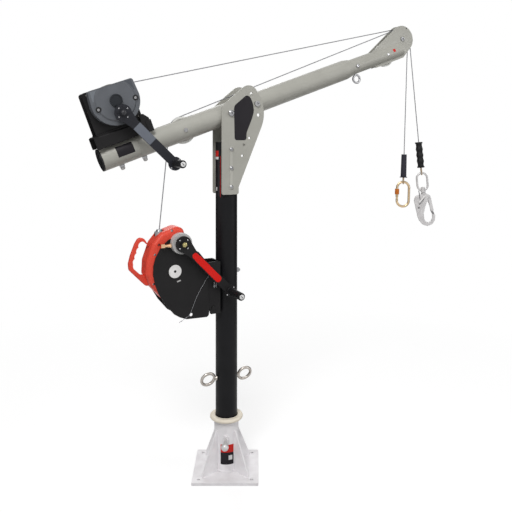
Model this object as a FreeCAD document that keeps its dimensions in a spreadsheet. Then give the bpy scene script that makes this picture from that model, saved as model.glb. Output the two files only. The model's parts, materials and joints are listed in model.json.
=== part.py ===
import FreeCAD, Part
import Sketcher
import math
import os
import re
from FreeCAD import Vector, Rotation, Placement

# Confined-space rescue davit: a floor socket, a swivelling mast with a tilting telescopic jib,
# a geared hand winch on the jib and a self-retracting lifeline on the mast.
# Millimetres. The mast turns about Z, the jib lies in the XZ plane with its tip towards +X,
# and the origin is on the mast's axis at the underside of the floor plate.

SIZES = {
    # floor base
    "plate_side": 300, "plate_t": 12, "plate_corner_r": 6, "floor_hole_r": 8, "floor_hole_pitch": 240,
    "base_turn": 26, "socket_d": 114, "socket_wall": 3, "socket_top": 240, "gusset_t": 8,
    "gusset_foot_reach": 148, "gusset_top": 195, "gusset_toe": 10, "gusset_shoulder": 6,
    "weld_size": 6, "liner_flange_d": 154, "liner_flange_t": 18, "liner_round": 7, "pad_t": 8,
    "screw_up": 168, "screw_boss_r": 14, "screw_boss_len": 18, "screw_r": 6, "screw_reach": 128,
    "ball_r": 17, "run_gap": 0.3, "fit_gap": 0.1,
    # mast
    "mast_d": 101.6, "mast_wall": 4, "mast_top": 1534, "eye_up": 433, "eye_ring_r": 31,
    "eye_wire_r": 5.5, "eye_out": 42, "eye_twist": 20, "eye_washer_r": 11, "eye_washer_t": 4,
    # head side plates, heights and reaches from the jib pivot
    "pivot_up": 1667, "jib_angle": 20, "head_t": 6, "head_gap": 102, "head_back": 47,
    "head_foot_drop": 376, "head_front_foot": 38, "head_heel_up": 29, "head_step_x": 14,
    "head_step_up": 84, "head_brow_x": 58, "head_brow_up": 119, "head_crest_x": 132,
    "head_crest_up": 108, "head_arc_r": 168, "head_knee_angle": 21,
    "stow_low_x": 56, "head_ankle_drop": 342, "head_corner_r": 9,
    "lock_circle_r": 140, "lock_step": 22, "lock_hole_r": 8,
    "strip_w": 13, "strip_t": 1.6, "strip_pad_r": 13, "strip_pitch": 87, "strip_first_drop": 166,
    "head_bolt_r": 5, "head_bolt_head_r": 8, "head_bolt_head_t": 5, "stow_hole_r": 6,
    "pivot_bolt_r": 9, "pivot_head_r": 14, "pivot_head_t": 8,
    "lock_pin_r": 7.5, "lock_pin_head_r": 13, "lock_pin_head_t": 9, "lock_pin_tail": 14,
    # jib, places along it from the pivot
    "jib_d": 100, "jib_wall": 4, "jib_rear": 621, "jib_front": 705, "collar_len": 33,
    "collar_tip_d": 88, "end_cap_t": 6, "end_cap_plug": 20, "inner_d": 80, "inner_wall": 4,
    "inner_tail": 175, "inner_end": 1088, "jib_liner_len": 60,
    "sheave_back": 233, "rear_sheave_r": 62, "rear_sheave_w": 14, "rear_slot_w": 18,
    "slot_rear": 345, "slot_fore": 165, "axle_r": 6, "axle_head_r": 9, "axle_head_t": 3,
    "groove_r": 3, "groove_sink": 1.2, "rope_r": 2.5, "seam_back": 455, "seam_depth": 0.8,
    # jib tip
    "tip_axle_s": 1112, "tip_axle_t": 50, "tip_sheave_r": 60, "tip_sheave_w": 12, "tip_gap": 30,
    "cheek_t": 5, "cheek_r": 71, "cheek_tail_s": 890, "cheek_low": 46, "cheek_toe_s": 1084,
    "cheek_toe_angle": 54, "cheek_back_angle": 112, "cheek_tail_t": 36,
    "guide_s": 976, "guide_t": 0, "guide_r": 60, "guide_w": 14,
    "jib_eye_s": 764, "jib_eye_r": 20.5, "jib_eye_wire": 4.5, "jib_eye_drop": 26,
    "side_screw_s": 766, "side_screw_r": 6,
    "keeper_r": 3, "keeper_angle": 45, "keeper_in": 4.5,
    # hand winch, places in the jib's own frame
    "winch_s": 494, "winch_t": 222, "cover_r": 105, "cover_top": 70, "cover_half": 99,
    "cover_corner_r": 12, "cover_face_y": 90, "cover_wall": 3, "frame_t": 4,
    "frame_half": 34, "frame_rear": 612, "frame_fore": 398, "hub_drop": 57.36, "hub_ahead": 4,
    "drum_core_r": 30, "wound_r": 61, "drum_flange_r": 74, "drum_flange_t": 4,
    "gear_module": 2.5, "gear_teeth": 36, "pinion_teeth": 10, "gear_w": 10, "crank_shaft_r": 8,
    "cap_r": 27, "cap_t": 7, "standoff_r": 8, "crank_y": 112, "crank_len": 312,
    "crank_t": 8, "crank_w": 40, "crank_hub_r": 36, "crank_end_r": 30, "grip_len": 95,
    "grip_r": 17, "grip_pin_r": 6, "panel_t": 1.5, "winch_crank_dip": 63.5, "rivet_r": 3.5,
    "saddle_half": 56, "saddle_skirt": 50, "saddle_roof": 98, "saddle_t": 5, "saddle_rear": 624,
    "saddle_fore": 376, "clamp_bolt_r": 6, "clamp_rear_s": 544, "clamp_fore_s": 437,
    # lifeline block on the mast
    "block_out": 188, "block_up": 961, "block_half": 50, "side_t": 5, "cavity_r": 100,
    "block_drum_r": 88, "block_drum_w": 60, "crank_ahead": 25, "crank_rise": 124,
    "boss_disc_r": 46, "block_crank_y": 98, "block_crank_dip": 45.6, "block_crank_len": 317,
    "block_crank_w": 38, "block_grip_len": 118, "shaft_cap_r": 29, "shaft_cap_t": 6,
    "nozzle_back": 54, "nozzle_rise": 163, "nozzle_r": 22, "nozzle_len": 20,
    "shell_corner_r": 28, "shell_rim_r": 18, "handle_t": 22, "block_line_r": 74, "block_screw_r": 6,
    "slot_len": 18, "spare_hole_r": 7.5, "bracket_bolt_r": 6, "clip_wire_r": 1.6, "clip_bend_r": 5,
    "bracket_half": 43, "bracket_t": 6, "bracket_drop": 213, "bracket_rise": 24,
    "ear_reach": 122, "hitch_x": 84, "hitch_drop": 81, "hitch_low_drop": 186,
    "hitch_r": 6, "hitch_tail": 12, "knob_r": 10, "knob_len": 50, "knob_pull": 10,
    # hanging lines and their ends
    "drop_spread": 7.5, "left_lean": 2.2, "right_lean": 6.6, "left_len": 624, "right_len": 570,
    "end_facing": 26, "left_grip_r": 15, "left_grip_len": 127,
    "right_grip_len": 140, "grip_flange_r": 20, "grip_flange_t": 4, "loop_wire_r": 2.5,
    "loop_r": 9.5, "left_loop_drop": 24, "right_loop_drop": 30,
    "carabiner_w": 78, "carabiner_len": 147, "carabiner_wire_r": 6.5, "sleeve_r": 11,
    "sleeve_len": 31, "gate_len": 58, "bow_w": 68, "bow_len": 108, "bow_wire_r": 5.5,
    "hook_boss_r": 13, "hook_boss_len": 20, "hook_t": 14, "hook_len": 183, "hook_stud_r": 7, "hook_neck": 8,
    "lanyard_r": 1, "lanyard_bow_r": 320, "lanyard_tail": 60,
}

# Places of the lifeline block's pieces, which follow its hitch pin and its drum's axis.
PLACES = {
    "block_x": "(hitch_x + block_out)",
    "crank_x": "(hitch_x + block_out - crank_ahead)",
    "crank_up": "(block_up + crank_rise)",
    "nozzle_x": "(hitch_x + block_out + nozzle_back)",
    "nozzle_up": "(block_up + nozzle_rise)",
    "bracket_low": "(block_up - bracket_drop)",
    "bracket_high": "(block_up + bracket_rise)",
    "hitch_up": "(block_up - hitch_drop)",
    "hitch_low": "(block_up - hitch_low_drop)",
}

doc = FreeCAD.newDocument("davit_crane")
sheet = doc.addObject("Spreadsheet::Sheet", "dims")
for row, (alias, number) in enumerate(SIZES.items(), start=1):
    sheet.set("A%d" % row, str(number))
    sheet.setAlias("A%d" % row, alias)
doc.recompute()
SIZE = {alias: float(sheet.get(alias)) for alias in SIZES}

ORIGIN = ("0", "0", "0")
TURN = 360
HALF = 180
QUARTER = 90
# A sketch's own numbers for an edge's ends, and for its origin.
START, END, ROOT = 1, 2, -1
AXES = {"X": Vector(1, 0, 0), "Y": Vector(0, 1, 0), "Z": Vector(0, 0, 1)}
# How a shape drawn along its own Z is turned to lie along each axis.
ALONG = {
    "X": Rotation(AXES["Y"], QUARTER), "-X": Rotation(AXES["Y"], -QUARTER),
    "Y": Rotation(AXES["X"], -QUARTER), "-Y": Rotation(AXES["X"], QUARTER),
    "Z": Rotation(), "-Z": Rotation(AXES["X"], HALF),
}
# A sketch in the XZ plane: its own X stays X and its own Y becomes Z, so its normal is -Y.
UPRIGHT = Rotation(AXES["X"], QUARTER)
# Arcs of outlines, as shares of their chord: 0.5 is a half circle, 0.7071 a quarter of one.
ROUND_SHARE = 0.77
GROOVE_SHARE = 0.625
QUARTER_SHARE = 0.7071
KNEE_SHARE = 0.99
CREST_SHARE = 0.615
CHEEK_SHARE = 0.5025
EAR_SHARE = 0.55
NOTCH_SHARE = 0.7
nodes = []


def formula(text):
    """Put the sizes behind each named place, and point every size name at the sheet."""
    text = re.sub(r"[a-z]\w*", lambda m: PLACES.get(m[0], m[0]), str(text))
    return re.sub(r"[a-z]\w*", lambda m: "dims." + m[0] if m[0] in SIZES else m[0], text)


def value(text):
    """Work a formula of the sheet's sizes out in millimetres or degrees."""
    return float(sheet.evalExpression(formula(text)))


def put(obj, at, rotation=None):
    """Bind an object's place to the sheet."""
    if rotation is not None:
        obj.Placement = Placement(Vector(), rotation)
    for letter, place in zip("xyz", at):
        obj.setExpression("Placement.Base." + letter, formula(place))
    return obj


def bound(kind, name, at, rotation=None, **sizes):
    """A Part primitive whose sizes follow the sheet."""
    obj = doc.addObject("Part::" + kind, name)
    for key, text in sizes.items():
        obj.setExpression(key, formula(text))
    return put(obj, at, rotation)


def rod(name, radius, length, at=ORIGIN, along="Z"):
    return bound("Cylinder", name, at, ALONG[along], Radius=radius, Height=length)


def cone(name, radius, top_radius, length, at=ORIGIN, along="Z"):
    return bound("Cone", name, at, ALONG[along], Radius1=radius, Radius2=top_radius, Height=length)


def block(name, lengths, at=ORIGIN):
    return bound("Box", name, at, None, Length=lengths[0], Width=lengths[1], Height=lengths[2])


def ring(name, radius, wire, at=ORIGIN, along="Z"):
    return bound("Torus", name, at, ALONG[along], Radius1=radius, Radius2=wire)


def ball(name, radius, at=ORIGIN):
    return bound("Sphere", name, at, None, Radius=radius)


def join(name, *shapes):
    obj = doc.addObject("Part::MultiFuse", name)
    obj.Shapes = list(shapes)
    return obj


def group(name, *shapes):
    """Separate solids that share a node."""
    obj = doc.addObject("Part::Compound", name)
    obj.Links = list(shapes)
    return obj


def cut(name, base, *tools):
    obj = doc.addObject("Part::Cut", name)
    obj.Base = base
    obj.Tool = tools[0] if len(tools) == 1 else join(name + "_tools", *tools)
    return obj


def common(name, first, second):
    obj = doc.addObject("Part::MultiCommon", name)
    obj.Shapes = [first, second]
    return obj


def outline(name, points, at=ORIGIN, rotation=UPRIGHT):
    """A closed sketch through points. A third entry makes an arc to the next point, whose radius
    is that share of the chord: half is a half circle, and below zero it curves inwards."""
    sketch = doc.addObject("Sketcher::SketchObject", name)
    spots = [Vector(value(p[0]), value(p[1]), 0) for p in points]
    count = len(points)
    for i, point in enumerate(points):
        start, end = spots[i], spots[(i + 1) % count]
        if len(point) < 3:
            sketch.addGeometry(Part.LineSegment(start, end), False)
            continue
        chord = end - start
        radius = abs(point[2]) * chord.Length
        rise = radius - math.sqrt(max(radius * radius - chord.Length * chord.Length / 4, 0))
        side = Vector(chord.y, -chord.x, 0)
        side.normalize()
        middle = (start + end) / 2 + side * math.copysign(rise, point[2])
        sketch.addGeometry(Part.Arc(start, middle, end), False)
    last = None
    for i, point in enumerate(points):
        gaps = [(sketch.getPoint(i, end) - spots[i]).Length for end in (START, END)]
        near = START if gaps[0] < gaps[1] else END
        for kind, text in (("DistanceX", point[0]), ("DistanceY", point[1])):
            number = sketch.addConstraint(Sketcher.Constraint(kind, ROOT, START, i, near, value(text)))
            sketch.setExpression("Constraints[%d]" % number, formula(text))
        if last is None:
            first = near
        else:
            sketch.addConstraint(Sketcher.Constraint("Coincident", i - 1, last, i, near))
        last = START + END - near
        if len(point) == 3:
            onward = points[(i + 1) % count]
            chord = "sqrt(((%s) - (%s))^2 + ((%s) - (%s))^2)" % (onward[0], point[0], onward[1], point[1])
            radius = "%s * %s" % (abs(point[2]), chord)
            number = sketch.addConstraint(Sketcher.Constraint("Radius", i, value(radius)))
            sketch.setExpression("Constraints[%d]" % number, formula(radius))
    sketch.addConstraint(Sketcher.Constraint("Coincident", count - 1, last, 0, first))
    return put(sketch, at, rotation)


def slab(name, points, back, thickness):
    """An outline in the XZ plane, made solid towards +Y from its front face."""
    solid = doc.addObject("Part::Extrusion", name)
    solid.Base = outline(name + "_outline", points, ("0", back, "0"))
    solid.DirMode = "Custom"
    solid.Dir = AXES["Y"]
    solid.Solid = True
    solid.setExpression("LengthFwd", formula(thickness))
    return solid


def lathe(name, points, at=ORIGIN, along="Z"):
    """Points given as radius and height, turned about an axis through a place."""
    solid = doc.addObject("Part::Revolution", name)
    solid.Source = outline(name + "_outline", points)
    solid.Axis = AXES["Z"]
    solid.Base = Vector()
    solid.Angle = TURN
    solid.Solid = True
    return put(solid, at, ALONG[along])


def soften(name, base, radius, axis, spots=None, reach=0.5):
    """Round the straight edges along an axis, all or those that pass the named spots."""
    doc.recompute()
    chosen = []
    for number, edge in enumerate(base.Shape.Edges, start=1):
        if edge.Curve.TypeId != "Part::GeomLine":
            continue
        run = edge.Vertexes[-1].Point - edge.Vertexes[0].Point
        if run.cross(AXES[axis]).Length > reach:
            continue
        middle = edge.CenterOfMass
        middle = middle - AXES[axis] * middle.dot(AXES[axis])
        wanted = spots is None or any((middle - spot).Length < reach for spot in spots)
        if wanted:
            chosen.append((number, value(radius), value(radius)))
    rounded = doc.addObject("Part::Fillet", name)
    rounded.Base = base
    rounded.Edges = chosen
    return rounded


def spot(x, z):
    return Vector(value(x), 0, value(z))


def node(label, obj, frame=None):
    """Name a finished sub-part; pieces of the jib are drawn level and placed at its tilt."""
    obj.Label = label
    if frame == "jib":
        obj.Placement = Placement(Vector(), Rotation(-AXES["Y"], SIZE["jib_angle"]))
        obj.setExpression("Placement.Rotation.Angle", formula("jib_angle"))
        obj.setExpression("Placement.Base.z", formula("pivot_up"))
    if frame == "base":
        obj.Placement = Placement(Vector(), Rotation(-AXES["Z"], SIZE["base_turn"]))
        obj.setExpression("Placement.Rotation.Angle", formula("base_turn"))
    nodes.append(obj)
    return obj


# Floor base: plate, socket with its weld, four gussets on the plate's diagonals.
def floor_holes(name, radius, low, height):
    tools = []
    for i, (sx, sy) in enumerate(((1, 1), (-1, 1), (-1, -1), (1, -1))):
        at = ("%d * floor_hole_pitch / 2" % sx, "%d * floor_hole_pitch / 2" % sy, low)
        tools.append(rod("%s_%d" % (name, i), radius, height, at))
    return tools


def make_base():
    half = "plate_side / 2"
    plate = block("plate_blank", ("plate_side", "plate_side", "plate_t"), ("-" + half, "-" + half, "0"))
    plate = soften("plate_rounded", plate, "plate_corner_r", "Z")
    holes = floor_holes("floor_hole", "floor_hole_r", "-plate_t", "plate_t * 3")
    node("base_plate", cut("base_plate", plate, *holes), "base")
    tall = "socket_top - plate_t"
    tube = rod("socket_outer", "socket_d / 2", tall, ("0", "0", "plate_t"))
    weld = cone("socket_weld", "socket_d / 2 + weld_size", "socket_d / 2", "weld_size",
                ("0", "0", "plate_t"))
    nut = soft_hex("screw_boss", "screw_boss_r", "screw_boss_len",
                   ("0", "-(socket_d / 2 - socket_wall)", "screw_up"))
    bore = rod("socket_bore", "socket_d / 2 - socket_wall", "socket_top", ("0", "0", "plate_t"))
    hole = rod("screw_hole", "screw_r + run_gap", "socket_d", ("0", "0", "screw_up"), "-Y")
    socket = cut("socket_bored", join("socket_solid", tube, weld, nut), bore, hole)
    fins = []
    for i in range(4):
        fin = slab("gusset_%d" % i, [
            ("socket_d / 2 - socket_wall / 2", "plate_t"), ("gusset_foot_reach", "plate_t"),
            ("gusset_foot_reach", "plate_t + gusset_toe"),
            ("socket_d / 2 + gusset_shoulder", "gusset_top"),
            ("socket_d / 2 - socket_wall / 2", "gusset_top")],
            "-gusset_t / 2", "gusset_t")
        fin.Placement = Placement(Vector(), Rotation(AXES["Z"], HALF / 4 + QUARTER * i))
        fins.append(fin)
    clear = rod("gusset_clear", "socket_d / 2", "socket_top", ("0", "0", "plate_t"))
    clear_weld = cone("gusset_weld_clear", "socket_d / 2 + weld_size", "socket_d / 2", "weld_size",
                      ("0", "0", "plate_t"))
    fins = cut("base_gussets", join("gusset_set", *fins), clear, clear_weld)
    node("base_socket", group("base_socket", socket, fins), "base")
    # The moulded liner: a sleeve with a floor down the socket, under a thick rounded flange.
    rim = "liner_flange_d / 2"
    inner = "mast_d / 2 + run_gap"
    outer = "socket_d / 2 - socket_wall - fit_gap"
    top = "socket_top + liner_flange_t"
    liner = lathe("liner_turned", [
        ("0", "plate_t"), (outer, "plate_t"), (outer, "socket_top"),
        (rim + " - liner_round", "socket_top", ROUND_SHARE),
        (rim, "socket_top + liner_flange_t / 2", ROUND_SHARE),
        (rim + " - liner_round", top), (inner + " + liner_round / 2", top),
        (inner, top + " - liner_round / 2"),
        (inner, "plate_t + pad_t"), ("0", "plate_t + pad_t")])
    screw_way = rod("liner_screw_hole", "screw_r + run_gap", "socket_d", ("0", "0", "screw_up"), "-Y")
    node("socket_liner", cut("socket_liner", liner, screw_way), "base")


def soft_hex(name, radius, length, at, along="-Y"):
    """A hexagonal nut or bolt head."""
    prism = doc.addObject("Part::Prism", name)
    prism.Polygon = 6
    prism.setExpression("Circumradius", formula(radius))
    prism.setExpression("Height", formula(length))
    return put(prism, at, ALONG[along])


# Clamp screw: a threaded rod with a ball end, square to the socket.
def make_lock_screw():
    start = "-(mast_d / 2 + run_gap)"
    shank = rod("lock_screw_shank", "screw_r", "screw_reach - mast_d / 2", ("0", start, "screw_up"), "-Y")
    knob = ball("lock_screw_ball", "ball_r", ("0", "-(screw_reach + ball_r * 0.8)", "screw_up"))
    node("lock_screw", join("lock_screw", shank, knob), "base")


def across(name, radius, at, reach="head_gap"):
    """A cutting rod right through the crane along Y."""
    return rod(name, radius, "2 * (%s)" % reach, (at[0], "-(%s)" % reach, at[1]), "Y")


STRIP_STEPS = (0, 1, 2)


def strip_spots():
    return [("0", "pivot_up - strip_first_drop - strip_pitch * %d" % i) for i in STRIP_STEPS]


def lock_spots():
    spots = []
    for i in (-1, 0, 1):
        angle = "(jib_angle + lock_step * %d)" % i
        spots.append(("lock_circle_r * cos(%s)" % angle, "pivot_up + lock_circle_r * sin(%s)" % angle))
    return spots


# Mast: one tube, cross-drilled for the head bolts, the eye bolts and the block's bracket.
def make_mast():
    foot = "plate_t + pad_t"
    tube = rod("mast_outer", "mast_d / 2", "mast_top - (%s)" % foot, ("0", "0", foot))
    bore = rod("mast_bore", "mast_d / 2 - mast_wall", "mast_top", ("0", "0", "0"))
    holes = [across("mast_hole_%d" % i, "head_bolt_r + fit_gap", at) for i, at in enumerate(strip_spots())]
    holes.append(rod("mast_eye_hole", "eye_wire_r + fit_gap", "2 * mast_d", ("-mast_d", "0", "eye_up"),
                     "X"))
    for i, height in enumerate(BRACKET_BOLTS):
        holes.append(rod("mast_bracket_hole_%d" % i, "bracket_bolt_r + fit_gap", "2 * mast_d",
                         ("-mast_d", "0", height), "X"))
    node("mast_tube", cut("mast_tube", tube, bore, *holes))
    eyes = []
    for side, sign in (("left", "-"), ("right", "")):
        along = "-X" if sign else "X"
        out = "%s(mast_d / 2)" % sign
        centre = "%s(mast_d / 2 + eye_out)" % sign
        loop = ring("eye_ring_" + side, "eye_ring_r", "eye_wire_r", (centre, "0", "eye_up"), "Y")
        loop.Placement = Placement(Vector(), Rotation(AXES["X"], -QUARTER + value("eye_twist")))
        foot = cone("eye_foot_" + side, "eye_washer_r", "eye_wire_r * 1.3", "eye_washer_t * 2",
                    (out, "0", "eye_up"), along)
        inner = "%s(mast_d / 2 - mast_wall * 3)" % sign
        shank = rod("eye_shank_" + side, "eye_wire_r * 0.9",
                    "mast_wall * 3 + eye_out - eye_ring_r + eye_wire_r / 2",
                    (inner, "0", "eye_up"), along)
        nut_at = "%s(mast_d / 2 - mast_wall * 2.8)" % sign
        nut = soft_hex("eye_nut_" + side, "eye_washer_r", "mast_wall * 1.5", (nut_at, "0", "eye_up"), along)
        eyes.append(join("eye_" + side, loop, foot, shank, nut))
    node("mast_eye_bolts", group("mast_eye_bolts", *eyes))


def head_outline():
    return [
        ("-head_back", "pivot_up - head_foot_drop"), ("head_front_foot", "pivot_up - head_foot_drop"),
        ("head_front_foot", "pivot_up - head_ankle_drop"),
        ("head_arc_r * cos(head_knee_angle)", "pivot_up - head_arc_r * sin(head_knee_angle)", KNEE_SHARE),
        ("head_crest_x", "pivot_up + head_crest_up", CREST_SHARE),
        ("head_brow_x", "pivot_up + head_brow_up"), ("head_step_x", "pivot_up + head_step_up"),
        ("-head_back", "pivot_up + head_heel_up")]


STOW_SHARES = ((1.66, -2.04), (1.14, -2.61), (1, -3.52))


# Head: two side plates bolted to the mast, with pressed strips under the three cross bolts.
def make_head():
    for name, back in (("head_plate_front", "-(head_gap / 2 + head_t)"),
                       ("head_plate_back", "head_gap / 2")):
        plate = slab(name + "_blank", head_outline(), back, "head_t")
        foot_spots = [spot(x, "pivot_up - head_foot_drop") for x in ("-head_back", "head_front_foot")]
        foot_spots.append(spot("-head_back", "pivot_up + head_heel_up"))
        plate = soften(name + "_rounded", plate, "head_corner_r", "Y", foot_spots)
        holes = [across("%s_bolt_%d" % (name, i), "head_bolt_r + fit_gap", at)
                 for i, at in enumerate(strip_spots())]
        holes += [across("%s_lock_%d" % (name, i), "lock_hole_r", at) for i, at in enumerate(lock_spots())]
        stows = from_shares(STOW_SHARES, "0", "pivot_up", "stow_low_x")
        holes += [across("%s_stow_%d" % (name, i), "stow_hole_r", at) for i, at in enumerate(stows)]
        holes.append(across(name + "_pivot", "pivot_bolt_r + fit_gap", ("0", "pivot_up")))
        node(name, cut(name, plate, *holes))
    strips = []
    for side, back in (("front", "-(head_gap / 2 + head_t + strip_t)"), ("back", "head_gap / 2 + head_t")):
        low = "pivot_up - strip_first_drop - 2 * strip_pitch"
        bar = block("strip_bar_" + side, ("strip_w", "strip_t", "2 * strip_pitch"),
                    ("-strip_w / 2", back, low))
        pads = [rod("strip_pad_%s_%d" % (side, i), "strip_pad_r", "strip_t", (at[0], back, at[1]), "Y")
                for i, at in enumerate(strip_spots())]
        holes = [across("strip_hole_%s_%d" % (side, i), "head_bolt_r + fit_gap", at)
                 for i, at in enumerate(strip_spots())]
        strips.append(cut("strip_" + side, join("strip_solid_" + side, bar, *pads), *holes))
    node("head_strips", group("head_strips", *strips))
    outer = "head_gap / 2 + head_t + strip_t"
    bolts = []
    for i, at in enumerate(strip_spots()):
        bolts.append(cross_bolt("head_bolt_%d" % i, "head_bolt_r", "head_bolt_head_r", "head_bolt_head_t",
                                outer, at))
    node("head_bolts", group("head_bolts", *bolts))
    node("jib_pivot_bolt", cross_bolt("jib_pivot_bolt", "pivot_bolt_r", "pivot_head_r", "pivot_head_t",
                                      "head_gap / 2 + head_t", ("0", "pivot_up")))


def cross_bolt(name, radius, head_r, head_t, outer, at):
    """A socket-head bolt along Y with its nut: the head is on the front."""
    shank = rod(name + "_shank", radius, "2 * (%s)" % outer, (at[0], "-(%s)" % outer, at[1]), "Y")
    head = rod(name + "_head", head_r, head_t, (at[0], "-(%s)" % outer, at[1]), "-Y")
    dish = cone(name + "_crown", head_r, "(%s) * 0.7" % head_r, "(%s) * 0.4" % head_t,
                (at[0], "-(%s + %s)" % (outer, head_t), at[1]), "-Y")
    nut = soft_hex(name + "_nut", head_r, head_t, (at[0], outer, at[1]), "Y")
    socket = soft_hex(name + "_socket", "(%s) * 0.6" % radius, head_t,
                      (at[0], "-(%s + (%s) * 0.5)" % (outer, head_t), at[1]), "-Y")
    return cut(name, join(name + "_solid", shank, head, dish, nut), socket)


# Lock pin: passes both plates and the jib, and pulls out towards the front.
def make_lock_pin():
    outer = "head_gap / 2 + head_t"
    at = ("lock_circle_r", "0")
    length = "2 * (%s) + lock_pin_tail" % outer
    shank = rod("lock_pin_shank", "lock_pin_r", length, (at[0], "-(%s)" % outer, at[1]), "Y")
    head = rod("lock_pin_head", "lock_pin_head_r", "lock_pin_head_t", (at[0], "-(%s)" % outer, at[1]), "-Y")
    dish = rod("lock_pin_dish", "lock_pin_head_r * 0.45", "lock_pin_head_t / 2",
               (at[0], "-(%s + lock_pin_head_t / 2)" % outer, at[1]), "-Y")
    node("jib_lock_pin", cut("jib_lock_pin", join("lock_pin_solid", shank, head), dish), "jib")


BRACKET_BOLTS = ("bracket_low + (bracket_high - bracket_low) * 0.22",
                 "bracket_low + (bracket_high - bracket_low) * 0.76")


# Jib: the outer tube with its pulley slot, end cap, seam groove and cone collar.
def make_jib():
    tube = rod("jib_outer", "jib_d / 2", "jib_rear + jib_front", ("-jib_rear", "0", "0"), "X")
    nose = cone("jib_nose", "jib_d / 2", "collar_tip_d / 2", "collar_len", ("jib_front", "0", "0"), "X")
    bore = rod("jib_bore", "jib_d / 2 - jib_wall", "jib_rear + jib_front - jib_liner_len",
               ("-jib_rear", "0", "0"), "X")
    guide = rod("jib_guide", "inner_d / 2 + run_gap", "jib_rear + jib_front + collar_len",
                ("-jib_rear", "0", "0"), "X")
    slot = block("jib_slot", ("slot_rear - slot_fore", "rear_slot_w", "2 * jib_d"),
                 ("-slot_rear", "-rear_slot_w / 2", "-jib_d"))
    tools = [bore, guide, slot, across("jib_pivot_hole", "pivot_bolt_r + run_gap", ("0", "0")),
             across("jib_lock_hole", "lock_hole_r", ("lock_circle_r", "0")),
             across("jib_axle_hole", "axle_r + fit_gap", ("-sheave_back", "0"))]
    groove = ring("jib_seam", "jib_d / 2", "seam_depth", ("-seam_back", "0", "0"), "X")
    tools.append(groove)
    for i, place in enumerate(("clamp_rear_s", "clamp_fore_s")):
        tools.append(rod("jib_clamp_hole_%d" % i, "clamp_bolt_r + fit_gap", "2 * jib_d",
                         ("-" + place, "0", "-jib_d")))
    node("jib_outer_tube", cut("jib_outer_tube", join("jib_solid", tube, nose), *tools), "jib")
    disc = rod("end_cap_disc", "jib_d / 2", "end_cap_t", ("-jib_rear", "0", "0"), "-X")
    plug = rod("end_cap_plug_solid", "jib_d / 2 - jib_wall - fit_gap", "end_cap_plug",
               ("-jib_rear", "0", "0"), "X")
    hollow = rod("end_cap_hollow", "jib_d / 2 - jib_wall * 2", "end_cap_plug", ("-jib_rear", "0", "0"), "X")
    node("jib_end_cap", cut("jib_end_cap", join("end_cap_solid", disc, plug), hollow), "jib")
    node("rear_sheave", sheave("rear_sheave", "rear_sheave_r", "rear_sheave_w",
                               ("-sheave_back", "0", "0")), "jib")
    side = "jib_d / 2"
    axle = rod("rear_axle_shank", "axle_r", "jib_d", ("-sheave_back", "-" + side, "0"), "Y")
    heads = [rod("rear_axle_head_" + way, "axle_head_r", "axle_head_t", ("-sheave_back", at, "0"), way)
             for way, at in (("-Y", "-" + side), ("Y", side))]
    node("rear_sheave_axle", join("rear_sheave_axle", axle, *heads), "jib")


SHEAVE_SHARES = ((0.35, 1), (0.42, 0.6), (0.78, 0.6), (0.86, 1))


def sheave(name, radius, width, at, bore="axle_r + run_gap"):
    """A grooved rope wheel on an axle along Y, with thinned cheeks."""
    half = "(%s) / 2" % width
    cheek = [("(%s) * %s" % (radius, out), "%s * %s" % (half, deep)) for out, deep in SHEAVE_SHARES]
    groove = "(%s) - groove_r" % radius
    rows = [(bore, "-" + half)] + [(out, "-" + deep) for out, deep in cheek]
    rows += [(radius, "-" + half), (groove, "-groove_r * 0.8", -GROOVE_SHARE), (groove, "groove_r * 0.8")]
    rows += [(radius, half)] + cheek[::-1] + [(bore, half)]
    return group(name, lathe(name + "_wheel", rows, at, "Y"))


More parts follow.
